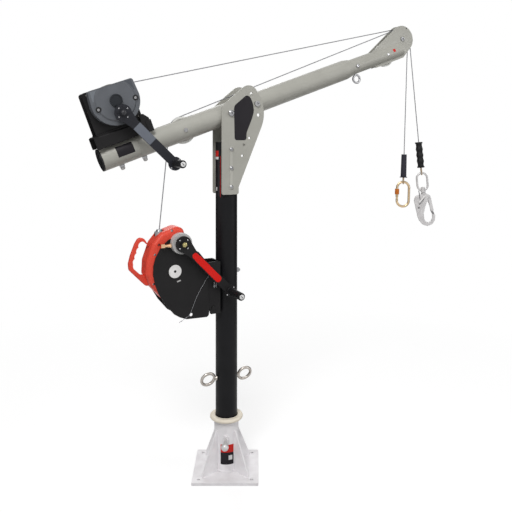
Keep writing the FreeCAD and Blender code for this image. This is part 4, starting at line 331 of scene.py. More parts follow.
def paint(name, first, second, rough, peel=0.15, shine=0.35):
    """Powder coat: an even colour with a fine orange peel."""
    tree = Tree(name).colour(first, second, scale=9.0).rough(rough - 0.06, rough + 0.08, scale=24.0)
    return tree.bump(scale=900.0, strength=peel, distance=0.0004).set(Specular_IOR_Level=shine).material


def metal(name, first, second, rough, scale=40.0):
    tree = Tree(name).colour(first, second, scale).rough(rough - 0.07, rough + 0.1, scale * 1.7)
    return tree.set(Metallic=1.0).material


def satin(name, first, second, low, high, metallic):
    """A metal that keeps some of its own colour where its surroundings are dark."""
    tree = Tree(name).colour(first, second, scale=30.0).rough(low, high, scale=60.0)
    return tree.set(Metallic=metallic).material


def galvanised(name, first, second):
    """Zinc grey: matt, pale, with the fine unevenness of a dipped skin."""
    tree = Tree(name).colour(first, second, scale=22.0).rough(0.42, 0.6, scale=60.0)
    return tree.bump(scale=300.0, strength=0.2, distance=0.0005).material


def plastic(name, first, second, rough, grain=0.1, shine=0.4):
    tree = Tree(name).colour(first, second, scale=12.0).rough(rough - 0.05, rough + 0.07, scale=30.0)
    return tree.bump(scale=1400.0, strength=grain, distance=0.0003).set(Specular_IOR_Level=shine).material


# The looks of the record's material slots
LOOKS = {
    "grey_paint": paint("warm_grey_paint", (166, 165, 157), (172, 171, 163), 0.42),
    "black_paint": paint("black_paint", (20, 20, 22), (26, 26, 28), 0.42, shine=0.13),
    "black_steel": paint("black_powder_coat", (20, 19, 20), (26, 25, 26), 0.46, shine=0.2),
    "charcoal_steel": paint("charcoal_paint", (33, 34, 39), (40, 41, 47), 0.44, shine=0.2),
    "galvanised": galvanised("zinc_grey_finish", (230, 227, 229), (241, 239, 241)),
    "liner": plastic("cream_moulding", (236, 225, 206), (243, 234, 217), 0.5),
    "bright": metal("bright_zinc_plate", (144, 144, 146), (164, 164, 166), 0.2),
    "zinc": metal("dull_zinc_plate", (134, 131, 124), (152, 149, 142), 0.32),
    "silver_alloy": metal("machined_alloy", (208, 206, 205), (224, 222, 221), 0.32),
    "rope_steel": metal("wire_rope", (126, 126, 129), (150, 150, 153), 0.42, scale=260.0),
    "red_plastic": plastic("red_housing", (222, 72, 54), (228, 78, 59), 0.4, shine=0.3),
    "cast_grey": plastic("pale_grey_casting", (190, 189, 188), (200, 199, 198), 0.5, 0.25),
    "red_vinyl": plastic("red_sleeve", (216, 20, 11), (221, 24, 14), 0.3, shine=0.25),
    "slate_plastic": plastic("slate_moulding", (92, 95, 100), (99, 102, 107), 0.36, 0.2, 0.3),
    "black_plastic": plastic("black_moulding", (20, 20, 22), (26, 26, 28), 0.45, 0.3, 0.25),
    "rubber_grip": plastic("grip_rubber", (38, 38, 47), (45, 45, 54), 0.55, 0.35, 0.25),
    "nylon": plastic("white_nylon", (218, 218, 212), (226, 226, 221), 0.4),
    "brass": metal("polished_brass", (206, 168, 130), (224, 188, 152), 0.14),
    "gold_zinc": metal("gold_passivate", (192, 168, 134), (208, 184, 150), 0.3),
}
# Looks that only some pieces wear
EXTRA = {
    "decal_black": plastic("decal_black", (26, 23, 28), (30, 27, 32), 0.34, 0.02, 0.2),
    "decal_red": plastic("decal_red", (200, 30, 22), (206, 34, 26), 0.34, 0.02, 0.25),
    "decal_white": plastic("decal_white", (226, 226, 226), (230, 230, 230), 0.3, 0.02),
    "dark_bolt": metal("blackened_bolt", (58, 58, 60), (70, 70, 72), 0.4),
    "yellow_zinc": metal("yellow_zinc_plate", (158, 148, 98), (172, 162, 114), 0.28),
    "amber_sleeve": plastic("amber_sleeve", (190, 98, 10), (200, 108, 16), 0.34),
    # Near black: painted shade in holes, wells and slots, and the black of the flags
    "black_and_painted_shade": plastic("black_and_painted_shade", (12, 12, 13), (15, 15, 16), 0.7),
    "ribbed_black": plastic("grip_black", (17, 17, 18), (22, 22, 23), 0.5, 0.3, 0.25),
    "strip_grey": paint("strip_grey", (178, 177, 169), (184, 183, 175), 0.4),
    "ring_steel": satin("satin_ring_steel", (170, 163, 156), (190, 184, 178), 0.24, 0.36, 0.75),
    "hook_alloy": satin("satin_alloy", (200, 198, 198), (214, 212, 212), 0.3, 0.46, 0.4),
    # Dark alloy for the hook's small parts, also used as painted shade for the lever's slot and the lever's shadow
    "hook_shade": metal("dark_alloy_and_painted_shade", (112, 111, 112), (128, 127, 128), 0.36),
    "thimble_bronze": metal("thimble_bronze", (168, 148, 122), (186, 166, 140), 0.32),
    # Lit and shaded copies of the slate plastic: painted light and shade on the cover's two facets
    "slate_painted_lit": plastic("slate_facet_painted_lit", (108, 113, 119), (114, 119, 125), 0.34, 0.2),
    "slate_painted_shade": plastic("slate_facet_painted_shade", (70, 74, 80), (76, 80, 86), 0.36, 0.2),
    "cap_grey": plastic("cap_grey", (34, 37, 41), (40, 43, 47), 0.5, 0.25, 0.2),
    "panel_slate": plastic("panel_slate", (99, 104, 114), (106, 111, 120), 0.36, 0.1),
}
SLOT_OF = {piece["node"]: piece["material_slot"] for piece in frame["record"]["subparts"]}


def wear(obj, material):
    obj.data.materials.clear()
    obj.data.materials.append(material)


def shade(obj, angle=35):
    """Smooth shading with the sharp edges kept."""
    for polygon in obj.data.polygons:
        polygon.use_smooth = True
    obj.data.set_sharp_from_angle(angle=math.radians(angle))


def round_edges(obj, width):
    """Take the sharpness off the long edges."""
    bevel = obj.modifiers.new("soft_edges", "BEVEL")
    bevel.width = width
    bevel.segments = 2
    bevel.limit_method = "ANGLE"
    bevel.angle_limit = math.radians(40)
    bevel.harden_normals = True
    bevel.use_clamp_overlap = True


# Pieces of folded or cut sheet, with the size of their rounded edges
SHEET_EDGES = {
    "winch_frame": 0.0008, "winch_saddle": 0.0012, "winch_cover": 0.0016, "winch_crank": 0.001,
    "head_plate_front": 0.0008, "head_plate_back": 0.0008, "mast_bracket": 0.001, "base_plate": 0.0012,
    "block_plate_front": 0.0006, "block_plate_back": 0.0006, "block_crank": 0.001, "tip_cheeks": 0.0006,
}
for name, obj in NODES.items():
    wear(obj, LOOKS[SLOT_OF[name]])
    shade(obj)
    if name in SHEET_EDGES:
        round_edges(obj, SHEET_EDGES[name])

# Nodes in a look of their own
OWN_LOOKS = {
    "hook_body": "hook_alloy", "hook_gate": "hook_alloy", "hook_bow": "hook_alloy",
    "lock_screw": "hook_alloy", "mast_eye_bolts": "ring_steel", "winch_crank_panel": "panel_slate",
    "right_grip": "ribbed_black", "head_strips": "strip_grey",
}
for name, look in OWN_LOOKS.items():
    wear(NODES[name], EXTRA[look])

# The photographed rings are a little thicker than the solids
for name, grow in (("mast_eye_bolts", 0.0013), ("jib_eye_bolt", 0.001)):
    swell = NODES[name].modifiers.new("thicker", "DISPLACE")
    swell.strength = grow
    swell.mid_level = 0


# Making small pieces


def made(name, mesh, material, body):
    obj = put(name, mesh)
    wear(obj, material)
    shade(obj)
    if body:
        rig.ride(obj, body)
    return obj


def mesh_of(name, points, faces):
    mesh = bpy.data.meshes.new(name)
    mesh.from_pydata([tuple(p) for p in points], [], faces)
    mesh.validate()
    mesh.update()
    return mesh


def square_to(axis):
    """Two directions square to an axis and to each other."""
    first = axis.orthogonal().normalized()
    return first, axis.cross(first)


def ring_faces(rows, sides, closed=False):
    """The faces between rings of points that follow each other."""
    faces = []
    for row in range(rows if closed else rows - 1):
        here, there = row * sides, (row + 1) % rows * sides
        for i in range(sides):
            j = (i + 1) % sides
            faces.append((here + i, here + j, there + j, there + i))
    return faces


def end_faces(rows, sides):
    """The faces that close the first and the last ring."""
    return [tuple(reversed(range(sides))), tuple(range((rows - 1) * sides, rows * sides))]


def lathe(name, rows, centre, axis, material, body, steps=40, open_ends=False):
    """Turn rows of (radius, height) about an axis through a centre."""
    axis = Vector(axis).normalized()
    first, second = square_to(axis)
    points = []
    for radius, height in rows:
        for i in range(steps):
            out = turned(first, second, 2 * math.pi * i / steps)
            points.append(Vector(centre) + axis * height + out * radius)
    faces = ring_faces(len(rows), steps)
    if not open_ends:
        faces += end_faces(len(rows), steps)
    return made(name, mesh_of(name, points, faces), material, body)


def washer(name, inner, outer, thick, centre, axis, material, body, steps=40):
    """A flat ring."""
    rows = [(inner, 0), (outer, 0), (outer, thick), (inner, thick), (inner, 0)]
    return lathe(name, rows, centre, axis, material, body, steps, open_ends=True)


def plate(name, outline, thick, origin, across, upward, material, body):
    """A flat outline in a plane, made solid towards the plane's normal."""
    across, upward = Vector(across).normalized(), Vector(upward).normalized()
    normal = across.cross(upward)
    base = [Vector(origin) + across * x + upward * y for x, y in outline]
    points = base + [p + normal * thick for p in base]
    faces = end_faces(2, len(base)) + ring_faces(2, len(base))
    return made(name, mesh_of(name, points, faces), material, body)


def rectangle(half_x, half_y, up=0.0):
    return [(-half_x, up - half_y), (half_x, up - half_y), (half_x, up + half_y), (-half_x, up + half_y)]


def rounded(points, radius, steps=5):
    """Round the corners of an outline."""
    out = []
    count = len(points)
    for i in range(count):
        p = Vector(points[i])
        before, after = Vector(points[i - 1]) - p, Vector(points[(i + 1) % count]) - p
        reach = min(radius, before.length / 2, after.length / 2)
        a, b = p + before.normalized() * reach, p + after.normalized() * reach
        for k in range(steps + 1):
            t = k / steps
            out.append(tuple(a * (1 - t) ** 2 + p * 2 * t * (1 - t) + b * t * t))
    return out


def bar_outline(first, last, half, steps=8):
    """A bar with round ends about two places."""
    start, end = Vector(first), Vector(last)
    way = (end - start).normalized()
    out = []
    for centre, turn in ((end, 0), (start, math.pi)):
        for k in range(steps + 1):
            spot = centre + turned(way, way.orthogonal(), turn - math.pi / 2 + math.pi * k / steps) * half
            out.append((spot.x, spot.y))
    return out


ROPE_R = 0.0025
ROPE_LAY = 0.034
ROPE_STRANDS = 6
STRAND_GROOVE = 0.16
STEEL = LOOKS["rope_steel"]


def strand(name, path, body=None, radius=ROPE_R, lay=ROPE_LAY, material=STEEL, per_strand=3, step=0.003):
    """A wire rope along a path: six strands laid round each other."""
    dense = [path[0]]
    for a, b in zip(path, path[1:]):
        parts = max(1, round((b - a).length / step))
        dense += [a.lerp(b, k / parts) for k in range(1, parts + 1)]
    sides = ROPE_STRANDS * per_strand
    points = []
    run = 0.0
    normal = (dense[1] - dense[0]).orthogonal().normalized()
    for i, p in enumerate(dense):
        if i:
            run += (p - dense[i - 1]).length
        ahead = dense[min(i + 1, len(dense) - 1)] - dense[max(i - 1, 0)]
        ahead.normalize()
        normal = (normal - ahead * normal.dot(ahead)).normalized()
        other = ahead.cross(normal)
        for k in range(sides):
            groove = STRAND_GROOVE * abs(math.sin(ROPE_STRANDS * math.pi * k / sides))
            out = turned(normal, other, 2 * math.pi * k / sides + 2 * math.pi * run / lay)
            points.append(p + out * radius * (1 - groove))
    faces = ring_faces(len(dense), sides) + end_faces(len(dense), sides)
    obj = made(name, mesh_of(name, points, faces), material, body)
    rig.slot(obj, "rope_steel")
    shade(obj, 60)
    return obj


# Ropes: their wheels, with the radii to the middle of the rope, and how the hanging ends lean and face

TIP = joint_place("tip_sheave_front_turn")
DRUM = joint_place("winch_drum_turn")
REAR = joint_place("rear_sheave_turn")
TIP_R, DRUM_R, REAR_R = 0.0588, 0.0638, 0.0608
NOZZLE = Vector((-0.326, 0, 1.144))
SPREAD = 0.0075
WINCH_LEAN, LIFE_LEAN = math.radians(2.2), math.radians(-6.6)
LINE_TURN = math.radians(-26)


def polar(centre, angle, radius, y=0.0):
    return centre + Vector((math.cos(angle) * radius, y, math.sin(angle) * radius))


def over(first, r1, second, r2):
    """The normal's angle of the line that lies on the tops of two wheels."""
    span = second - first
    return math.atan2(span.z, span.x) + math.acos((r1 - r2) / span.length)


def arc(centre, radius, a, b, y=0.0, steps=40):
    return [polar(centre, a + (b - a) * k / steps, radius, y) for k in range(steps + 1)]


def hanging(lean, y):
    """A hanging line's frame: its origin where the rope leaves the tip's wheel, its -Z down the rope."""
    origin = polar(TIP, -lean, TIP_R, y)
    turn = Matrix.Rotation(lean, 3, "Y") @ Matrix.Rotation(LINE_TURN, 3, "Z")

    def place(x, yy, z):
        return origin + turn @ Vector((x, yy, z))

    return place, turn


on_winch_drop, WINCH_DROP_TURN = hanging(WINCH_LEAN, SPREAD)
on_life_drop, LIFE_DROP_TURN = hanging(LIFE_LEAN, -SPREAD)


def over_the_jib(run_name, bend_name, start, top, lean, y, node, drop_body):
    """A rope's straight run to the tip's wheel, and its bend over that wheel."""
    touch = polar(TIP, top, TIP_R, y)
    run = strand(run_name, [start, touch])
    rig.blend(run, "jib", "telescope", start, touch)
    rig.replaces(run, node)
    wrap = arc(TIP, TIP_R, top, -lean, y)
    bend = strand(bend_name, wrap)
    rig.blend(bend, "telescope", drop_body, wrap[0], wrap[-1])


winch_top = over(DRUM, DRUM_R, TIP, TIP_R)
over_the_jib("winch_rope_run", "winch_rope_over_tip", polar(DRUM, winch_top, DRUM_R, SPREAD), winch_top,
             WINCH_LEAN, SPREAD, "winch_line_run", "winch_drop")

span = REAR - NOZZLE
side = math.atan2(-span.z, -span.x) - math.acos(REAR_R / span.length)
leave = polar(REAR, side, REAR_R)
riser = strand("lifeline_riser_rope", [NOZZLE, leave])
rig.blend(riser, "mast", "jib", NOZZLE, leave)
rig.replaces(riser, "lifeline_riser")
life_top = over(REAR, REAR_R, TIP, TIP_R)
over_rear = arc(REAR, REAR_R, side + 2 * math.pi, life_top)
strand("lifeline_over_rear", over_rear, "jib")
over_the_jib("lifeline_rope_run", "lifeline_over_tip", over_rear[-1], life_top,
             LIFE_LEAN, -SPREAD, "lifeline_run", "lifeline_drop")


def route(name, places):
    """Read a smooth path from a NURBS spline that has these places as its control points."""
    curve = bpy.data.curves.new(name + "_route", "CURVE")
    curve.dimensions = "3D"
    curve.resolution_u = 16
    spline = curve.splines.new("NURBS")
    spline.points.add(len(places) - 1)
    for point, place in zip(spline.points, places):
        point.co = (*place, 1)
    spline.order_u = 3
    spline.use_endpoint_u = True
    holder = put(name + "_route", curve)
    bpy.context.view_layer.update()
    mesh = bpy.data.meshes.new_from_object(holder)
    path = [vertex.co.copy() for vertex in mesh.vertices]
    bpy.data.objects.remove(holder)
    bpy.data.meshes.remove(mesh)
    return path


EYE_R = 0.0095
EYE_WIRE_R = 0.0025
EYE_REACH = EYE_R * 1.12
FINE_STEP = 0.0015


def drop(name, place, length, grip_len, loop_drop, body, node, pieces):
    """The straight rope of a hanging line, on through its grip, and the wire eye under it."""
    whole = length + grip_len
    path = route(name, [place(0, 0, 0), place(0, 0, -whole / 2), place(0, 0, -whole)])
    rope = strand(name, path, body)
    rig.replaces(rope, node)
    low = -whole - loop_drop
    rise = (low + loop_drop, low, low - EYE_REACH)
    places = [place(0, -EYE_R, z) for z in rise] + [place(0, EYE_R, z) for z in reversed(rise)]
    eye = strand(name + "_eye", route(name + "_eye", places), body, EYE_WIRE_R,
                 material=EXTRA["thimble_bronze"], step=FINE_STEP)
    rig.cord(rope, exit=place(0, 0, 0), length=whole, diameter=2 * ROPE_R, far_end="connector",
            stiffness="stiff", lay="hanging", path=path, with_pieces=[eye] + [NODES[n] for n in pieces])
    return low


LEFT_LOW = drop("winch_rope_drop", on_winch_drop, length=0.624, grip_len=0.127, loop_drop=0.024,
                body="winch_drop", node="left_line", pieces=["left_grip", "carabiner", "carabiner_gate"])
drop("lifeline_rope_drop", on_life_drop, length=0.57, grip_len=0.14, loop_drop=0.03,
     body="lifeline_drop", node="right_line", pieces=["right_grip", "hook_bow", "hook_body", "hook_gate"])

# The thin wire that keeps the hitch pin: its places from the block's middle, as shares of the cavity's radius
CAVITY_R = 0.1
LANYARD_Y = -0.0573
LANYARD_R = 0.001
LANYARD_LAY = 0.012
LANYARD_SHARES = ((1.6, -0.33), (1.12, -1.02), (0.86, -1.62), (0.7, -2.02), (0.5, -2.13), (0.2, -2.3))
FERRULE_LEN = 0.018
FERRULE = [(0.0012, 0), (0.0021, 0.0004), (0.0021, FERRULE_LEN - 0.0004), (0.0012, FERRULE_LEN)]
path = route("lanyard", [BLOCK + Vector((x * CAVITY_R, LANYARD_Y, z * CAVITY_R)) for x, z in LANYARD_SHARES])
lanyard = strand("lanyard_wire", path, "mast", LANYARD_R, LANYARD_LAY, step=FINE_STEP)
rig.replaces(lanyard, "pin_lanyard")
way = (path[-1] - path[-4]).normalized()
sleeve = lathe("lanyard_ferrule", FERRULE, path[-1] - way * FERRULE_LEN, way, LOOKS["bright"], "mast")
LANYARD_LENGTH = sum((q - p).length for p, q in zip(path, path[1:]))
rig.cord(lanyard, exit=path[0], length=LANYARD_LENGTH, diameter=2 * LANYARD_R, far_end="bare",
        stiffness="stiff", lay="hanging", path=path, with_pieces=[sleeve])

# Bare labels, where the real ones carry print

LABEL_T = 0.0004
OVERLAY_T = 0.0002


def patch(name, zero, second, axis, centre, radius, spread, span, look, body, thick=LABEL_T, steps=24):
    """A thin curved label on a tube, between two angles and two heights along the tube."""
    points, faces = [], []
    for i in range(steps + 1):
        out = turned(zero, second, math.radians(spread[0] + (spread[1] - spread[0]) * i / steps))
        for r in (radius, radius + thick):
            for h in span:
                points.append(centre + axis * h + out * r)
    for i in range(steps):
        a, b = 4 * i, 4 * (i + 1)
        faces += [(a + 2, b + 2, b + 3, a + 3), (a + 1, b + 1, b, a)]
        faces += [(a, b, b + 2, a + 2), (a + 3, b + 3, b + 1, a + 1)]
    last = 4 * steps
    faces += [(0, 2, 3, 1), (last + 1, last + 3, last + 2, last)]
    return made(name, mesh_of(name, points, faces), EXTRA[look], body)


patch("jib_label", JIB_UP, -Y, JIB_ALONG, PIVOT, JIB_R, (47, 104), (-0.556, -0.480), "decal_black", "jib")
# Name, radius of the face it lies on, angles in degrees, heights, look, body and thickness
UPRIGHT_LABELS = (
    ("mast_label_dark", MAST_R, (-194, -148), (1.283, 1.494), "decal_black", "mast", LABEL_T),
    ("mast_label_red", MAST_R + LABEL_T, (-193, -159), (1.466, 1.493), "decal_red", "mast", OVERLAY_T),
    ("mast_label_pale", MAST_R + LABEL_T, (-193, -159), (1.453, 1.465), "decal_white", "mast", OVERLAY_T),
    ("mast_label_tab", MAST_R + LABEL_T, (-181, -170), (1.307, 1.324), "decal_white", "mast", OVERLAY_T),
    ("mast_label_line", MAST_R, (-147.6, -145.6), (1.278, 1.47), "decal_red", "mast", LABEL_T),
    ("base_label_dark", SOCKET_R, (-141, -78), (0.046, 0.101), "decal_black", "base", LABEL_T),
    ("base_label_red", SOCKET_R, (-141, -78), (0.1012, 0.137), "decal_red", "base", LABEL_T),
    ("base_label_square", SOCKET_R + LABEL_T, (-103, -85), (0.067, 0.088), "decal_white", "base", OVERLAY_T),
)
for name, radius, spread, heights, look, body, thick in UPRIGHT_LABELS:
    patch(name, X, Y, Z, FOOT, radius, spread, heights, look, body, thick)
patch("tip_label_red", -Y, -JIB_UP, JIB_ALONG, PIVOT, INNER_TUBE_R, (-24.4, -1.4), (1.016, 1.032),
      "decal_red", "telescope", thick=0.0003)
HEAD_LABEL_Y = -0.0571
HEAD_LABEL = [(0.077, 1.753), (0.014, 1.701), (0.017, 1.542), (0.077, 1.542), (0.078, 1.578),
              (0.108, 1.649), (0.117, 1.683), (0.109, 1.722), (0.095, 1.748)]
plate("head_label", rounded(HEAD_LABEL, 0.014), LABEL_T, (0, HEAD_LABEL_Y, 0), X, Z,
      EXTRA["decal_black"], "mast")

# Carabiner: the amber part of its sleeve, placed as in the CAD, and the cheeks of its gate's hinge

RUN_GAP = 0.0003
CARABINER_W, CARABINER_LEN, CARABINER_WIRE_R = 0.078, 0.147, 0.0065
GATE_LEN = 0.058
SLEEVE_LEN = 0.031
gate_x = -(CARABINER_W / 2 - CARABINER_WIRE_R)
ring_top = LEFT_LOW - EYE_R + EYE_WIRE_R + RUN_GAP + CARABINER_WIRE_R
ring_middle = ring_top - (CARABINER_LEN - 2 * CARABINER_WIRE_R) / 2
sleeve_low = ring_middle + GATE_LEN * 0.55 - GATE_LEN * 0.05 - SLEEVE_LEN
sleeve_end = [(0.0095, 0), (0.0113, 0.0008), (0.0115, 0.002)]
lathe("carabiner_sleeve_amber", sleeve_end + [(r, SLEEVE_LEN - h) for r, h in reversed(sleeve_end)],
      on_winch_drop(gate_x, 0, sleeve_low), WINCH_DROP_TURN @ Z, EXTRA["amber_sleeve"], "carabiner_latch")

CHEEK = [(-0.0042, -0.0085), (0.0042, -0.0085), (0.0048, 0.0),
         (0.0034, 0.0042), (-0.0034, 0.0042), (-0.0048, 0.0)]
CHEEK_T = 0.0008
gate_pin = Vector(JOINTS["carabiner_gate_open"]["pos_m"])
for i, away in enumerate((-0.0062, 0.0054)):
    plate("carabiner_cheek_%d" % i, rounded(CHEEK, 0.002), -CHEEK_T, gate_pin + WINCH_DROP_TURN @ Y * away,
          WINCH_DROP_TURN @ X, WINCH_DROP_TURN @ Z, LOOKS["gold_zinc"], "winch_drop")

# Hook: its lever in a slot, with the slot's shade and the lever's shadow painted as dark bars, and the cheeks of its
# gate, in the hanging line's own frame

HOOK_FACE = -0.0069
LEVER_PIN_AT = (-0.0335, HOOK_FACE, -0.931)
LEVER_PIN = [(0.0052, 0), (0.0052, 0.0018), (0.0042, 0.0026)]
GATE_CHEEK = {"first": (0.0365, -0.953), "last": (0.0435, -0.971), "half": 0.0046, "thick": 0.0014}


def on_hook(name, first, last, half, y, thick, look, body):
    """A flat bar on the hook, about two places in its plane."""
    plate(name, bar_outline(first, last, half), thick, on_life_drop(0, y, 0), LIFE_DROP_TURN @ X,
          LIFE_DROP_TURN @ Z, look, body)


# The slot bar is the slot's painted shade; the shade bar is the lever's shadow, painted as a dark bar under it
# Name, the two places of the bar, half its width, its thickness and its look
LEVER_BARS = (
    ("hook_lever_slot", (-0.0252, -0.838), (-0.0218, -0.887), 0.0024, 0.0004, EXTRA["hook_shade"]),
    ("hook_lever_shade", (-0.027, -0.911), (0.004, -0.8775), 0.0042, 0.0005, EXTRA["hook_shade"]),
    ("hook_lever", (-0.0265, -0.9005), (0.0055, -0.8675), 0.0042, 0.0026, LOOKS["silver_alloy"]),
)
for name, first, last, half, thick, look in LEVER_BARS:
    on_hook(name, first, last, half, HOOK_FACE, thick, look, "swivel_hook")
lathe("hook_lever_pin", LEVER_PIN, on_life_drop(*LEVER_PIN_AT), -(LIFE_DROP_TURN @ Y),
      EXTRA["hook_shade"], "swivel_hook", steps=24)
for i, y in enumerate((-0.0076, 0.009)):
    on_hook("hook_gate_cheek_%d" % i, y=y, look=EXTRA["hook_shade"], body="hook_latch", **GATE_CHEEK)

# Cranks: radius and height of the hub's nut and stud, the rivets and the disc that closes the grip

NUT = [(0.0112, 0), (0.0112, 0.0078), (0.0098, 0.0086)]
STUD = [(0.0052, 0), (0.0052, 0.0112), (0.0044, 0.0118)]
RIVET = [(0.0034, 0), (0.0034, 0.0012), (0.0026, 0.0018)]
PIN_DISC = [(0.0109, 0), (0.0109, 0.0008), (0.0101, 0.0012)]
HUB_RIVETS_R = 0.0255
SLOT_HALF_LEN, SLOT_HALF_W = 0.0062, 0.0007
SLOT_AWAY = 0.0012
SLOT_T = 0.0002
SLOT_OUT = 0.00122


def dressed_crank(name, body, hub, end, end_rivet, nut_y, rivet_y, disc_y, nut_look):
    """Hub nut with its stud, rivets, and the slotted disc that closes the grip, in their own colours, with the disc's
    slot drawn as two dark bars of painted shade.
    """
    seat = Vector((hub.x, nut_y, hub.z))
    lathe(name + "_nut", NUT, seat, -Y, nut_look, body, steps=6)
    lathe(name + "_stud", STUD, seat, -Y, nut_look, body, steps=20)
    disc = Vector((end.x, disc_y, end.z))
    lathe(name + "_pin_disc", PIN_DISC, disc, -Y, EXTRA["decal_white"], body)
    bar = (end - hub).normalized()
    side = bar.cross(Y)
    for i, (a, b) in enumerate(((1, 0), (0, 1), (-1, 0), (0, -1))):
        spot = Vector((hub.x, rivet_y, hub.z)) + (bar * a + side * b) * HUB_RIVETS_R
        lathe("%s_rivet_%d" % (name, i), RIVET, spot, -Y, LOOKS["bright"], body, steps=16)
    for i, b in enumerate((1, -1)):
        spot = Vector((end.x, rivet_y, end.z)) + side * b * end_rivet
        lathe("%s_end_rivet_%d" % (name, i), RIVET, spot, -Y, LOOKS["bright"], body, steps=16)
    # The disc's slot: two dark bars of painted shade
    for i, way in enumerate((-1, 1)):
        outline = rectangle(SLOT_HALF_LEN, SLOT_HALF_W, SLOT_AWAY * way)
        plate("%s_pin_slot_shade_%d" % (name, i), outline, SLOT_T, disc - Y * SLOT_OUT, bar, side,
              EXTRA["black_and_painted_shade"], body)


WINCH_HUB, WINCH_GRIP = joint_place("winch_crank_turn"), joint_place("winch_grip_turn")
dressed_crank("winch_handle", "winch_handle", WINCH_HUB, WINCH_GRIP, end_rivet=0.02545,
              nut_y=-0.1248, rivet_y=-0.1205, disc_y=-0.221, nut_look=EXTRA["dark_bolt"])
RESCUE_HUB, RESCUE_GRIP = joint_place("rescue_crank_turn"), joint_place("rescue_grip_turn")
dressed_crank("rescue_handle", "rescue_crank", RESCUE_HUB, RESCUE_GRIP, end_rivet=0.02245,
              nut_y=-0.1108, rivet_y=-0.1065, disc_y=-0.230, nut_look=EXTRA["yellow_zinc"])

# The rescue crank's red panel, between two shares of the arm
PANEL_SHARES = (0.25, 0.775)
PANEL_HALF = 0.0152
PANEL_Y = -0.1077
PANEL_T = 0.0006
arm = RESCUE_GRIP - RESCUE_HUB
low_end, high_end = (share * arm.length for share in PANEL_SHARES)
panel = bar_outline((low_end + PANEL_HALF, 0), (high_end - PANEL_HALF, 0), PANEL_HALF, steps=16)
plate("rescue_panel_face", panel, PANEL_T, RESCUE_HUB + Y * PANEL_Y, arm, -arm.cross(Y),
      LOOKS["red_vinyl"], "rescue_crank")

# The rippled weld at the socket's foot

WELD_UP = 0.0145
WELD_R = 0.0605
WELD_BEAD = 0.0038
WELD_RIPPLE = 0.16
RIPPLES, RIPPLE_STEPS, BEAD_SIDES = 64, 5, 8
points = []
for i in range(RIPPLES * RIPPLE_STEPS):
    out = turned(*square_to(Z), 2 * math.pi * i / (RIPPLES * RIPPLE_STEPS))
    bead = WELD_BEAD * (1 + WELD_RIPPLE * math.cos(2 * math.pi * i / RIPPLE_STEPS))
    for k in range(BEAD_SIDES):
        points.append(Z * WELD_UP + out * WELD_R + turned(out, Z, 2 * math.pi * k / BEAD_SIDES) * bead)
faces = ring_faces(RIPPLES * RIPPLE_STEPS, BEAD_SIDES, closed=True)
made("socket_weld", mesh_of("socket_weld", points, faces), LOOKS["galvanised"], "base")

# Rope wound side by side on the winch's drum

WINDING_HALF = 0.0255
WINDING_PITCH = 0.0053
turns = 2 * WINDING_HALF / WINDING_PITCH
steps = round(turns * 28)
coil = [polar(DRUM, 2 * math.pi * turns * i / steps, DRUM_R, WINDING_HALF * (2 * i / steps - 1))
        for i in range(steps + 1)]
strand("winch_winding", coil, "winch_reel", per_strand=2, step=0.02)

# End cap: two rings and six ribs

CAP = by_jib(PIVOT, -0.6272, 0)
CAP_RINGS = ((0.0395, 0.0425), (0.0215, 0.0235))
CAP_RING_T = 0.0012
CAP_RIBS = 6
CAP_RIB_HALF_W, CAP_RIB_T = 0.0009, 0.001
for i, (inner, outer) in enumerate(CAP_RINGS):
    washer("end_cap_ring_%d" % i, inner, outer, CAP_RING_T, CAP, -JIB_ALONG, LOOKS["black_plastic"], "jib")
for i in range(CAP_RIBS):
    way = turned(JIB_UP, Y, math.pi * i / CAP_RIBS)
    plate("end_cap_rib_%d" % i, rectangle(CAP_RINGS[0][0], CAP_RIB_HALF_W), CAP_RIB_T, CAP, way,
          way.cross(JIB_ALONG), LOOKS["black_plastic"], "jib")

# Block: painted shade as a dark disc in the key hole of the shaft's cap, pale insert in the slot, blackened head on
# the low pin

KEY_HOLE_AT = BLOCK + Y * -0.0613
INSERT_AT = BLOCK + Vector((0.019, -0.0553, -0.0453))
INSERT_T = 0.001
LOW_PIN_AT = Vector((-0.084, -0.0492, 0.775))
lathe("drum_key_hole_shade", [(0.0054, 0), (0.0054, 0.0004), (0.0044, 0.0005)], KEY_HOLE_AT, -Y,
      EXTRA["black_and_painted_shade"], "lifeline_drum", steps=24)
plate("block_slot_insert", rounded(rectangle(0.0088, 0.0025), 0.001), -INSERT_T, INSERT_AT,
      (1, 0, 0.3), (-0.3, 0, 1), LOOKS["cast_grey"], "mast")
lathe("low_pin_cap", [(0.0098, 0), (0.0098, 0.0038), (0.0088, 0.0046)], LOW_PIN_AT, -Y,
      LOOKS["black_steel"], "mast", steps=32)

# Tip: painted shade as a dark ring in the socket of the axle's head, the dark pin of its keeper, and the guide's screw

TIP_HEAD_Y, KEEPER_Y, GUIDE_Y = -0.0261, -0.0199, -0.0394
KEEPER_AWAY = 0.047
washer("tip_axle_socket_shade", 0.0036, 0.0058, 0.0008, TIP + Y * TIP_HEAD_Y, -Y, EXTRA["black_and_painted_shade"],
       "telescope", steps=24)
lathe("tip_keeper_end", [(0.0036, 0), (0.0036, 0.0006), (0.003, 0.0008)],
      by_jib(TIP, KEEPER_AWAY, KEEPER_AWAY, KEEPER_Y), -Y, EXTRA["black_and_painted_shade"], "telescope", steps=24)
lathe("tip_guide_head", [(0.0066, 0), (0.0066, 0.003), (0.005, 0.0044)],
      joint_place("guide_pulley_turn") + Y * GUIDE_Y, -Y, LOOKS["bright"], "telescope", steps=28)

# Winch's clamp: domed nuts under the jib

CLAMP_UNDER = -0.0579
CLAMP_BOLTS = (-0.544, -0.437)
DOME = [(0.0098, 0), (0.0098, 0.008), (0.0088, 0.0118), (0.006, 0.0142), (0.0025, 0.015)]
for i, along in enumerate(CLAMP_BOLTS):
    lathe("clamp_dome_nut_%d" % i, DOME, by_jib(PIVOT, along, CLAMP_UNDER), -JIB_UP, LOOKS["cast_grey"],
          "jib", steps=32)
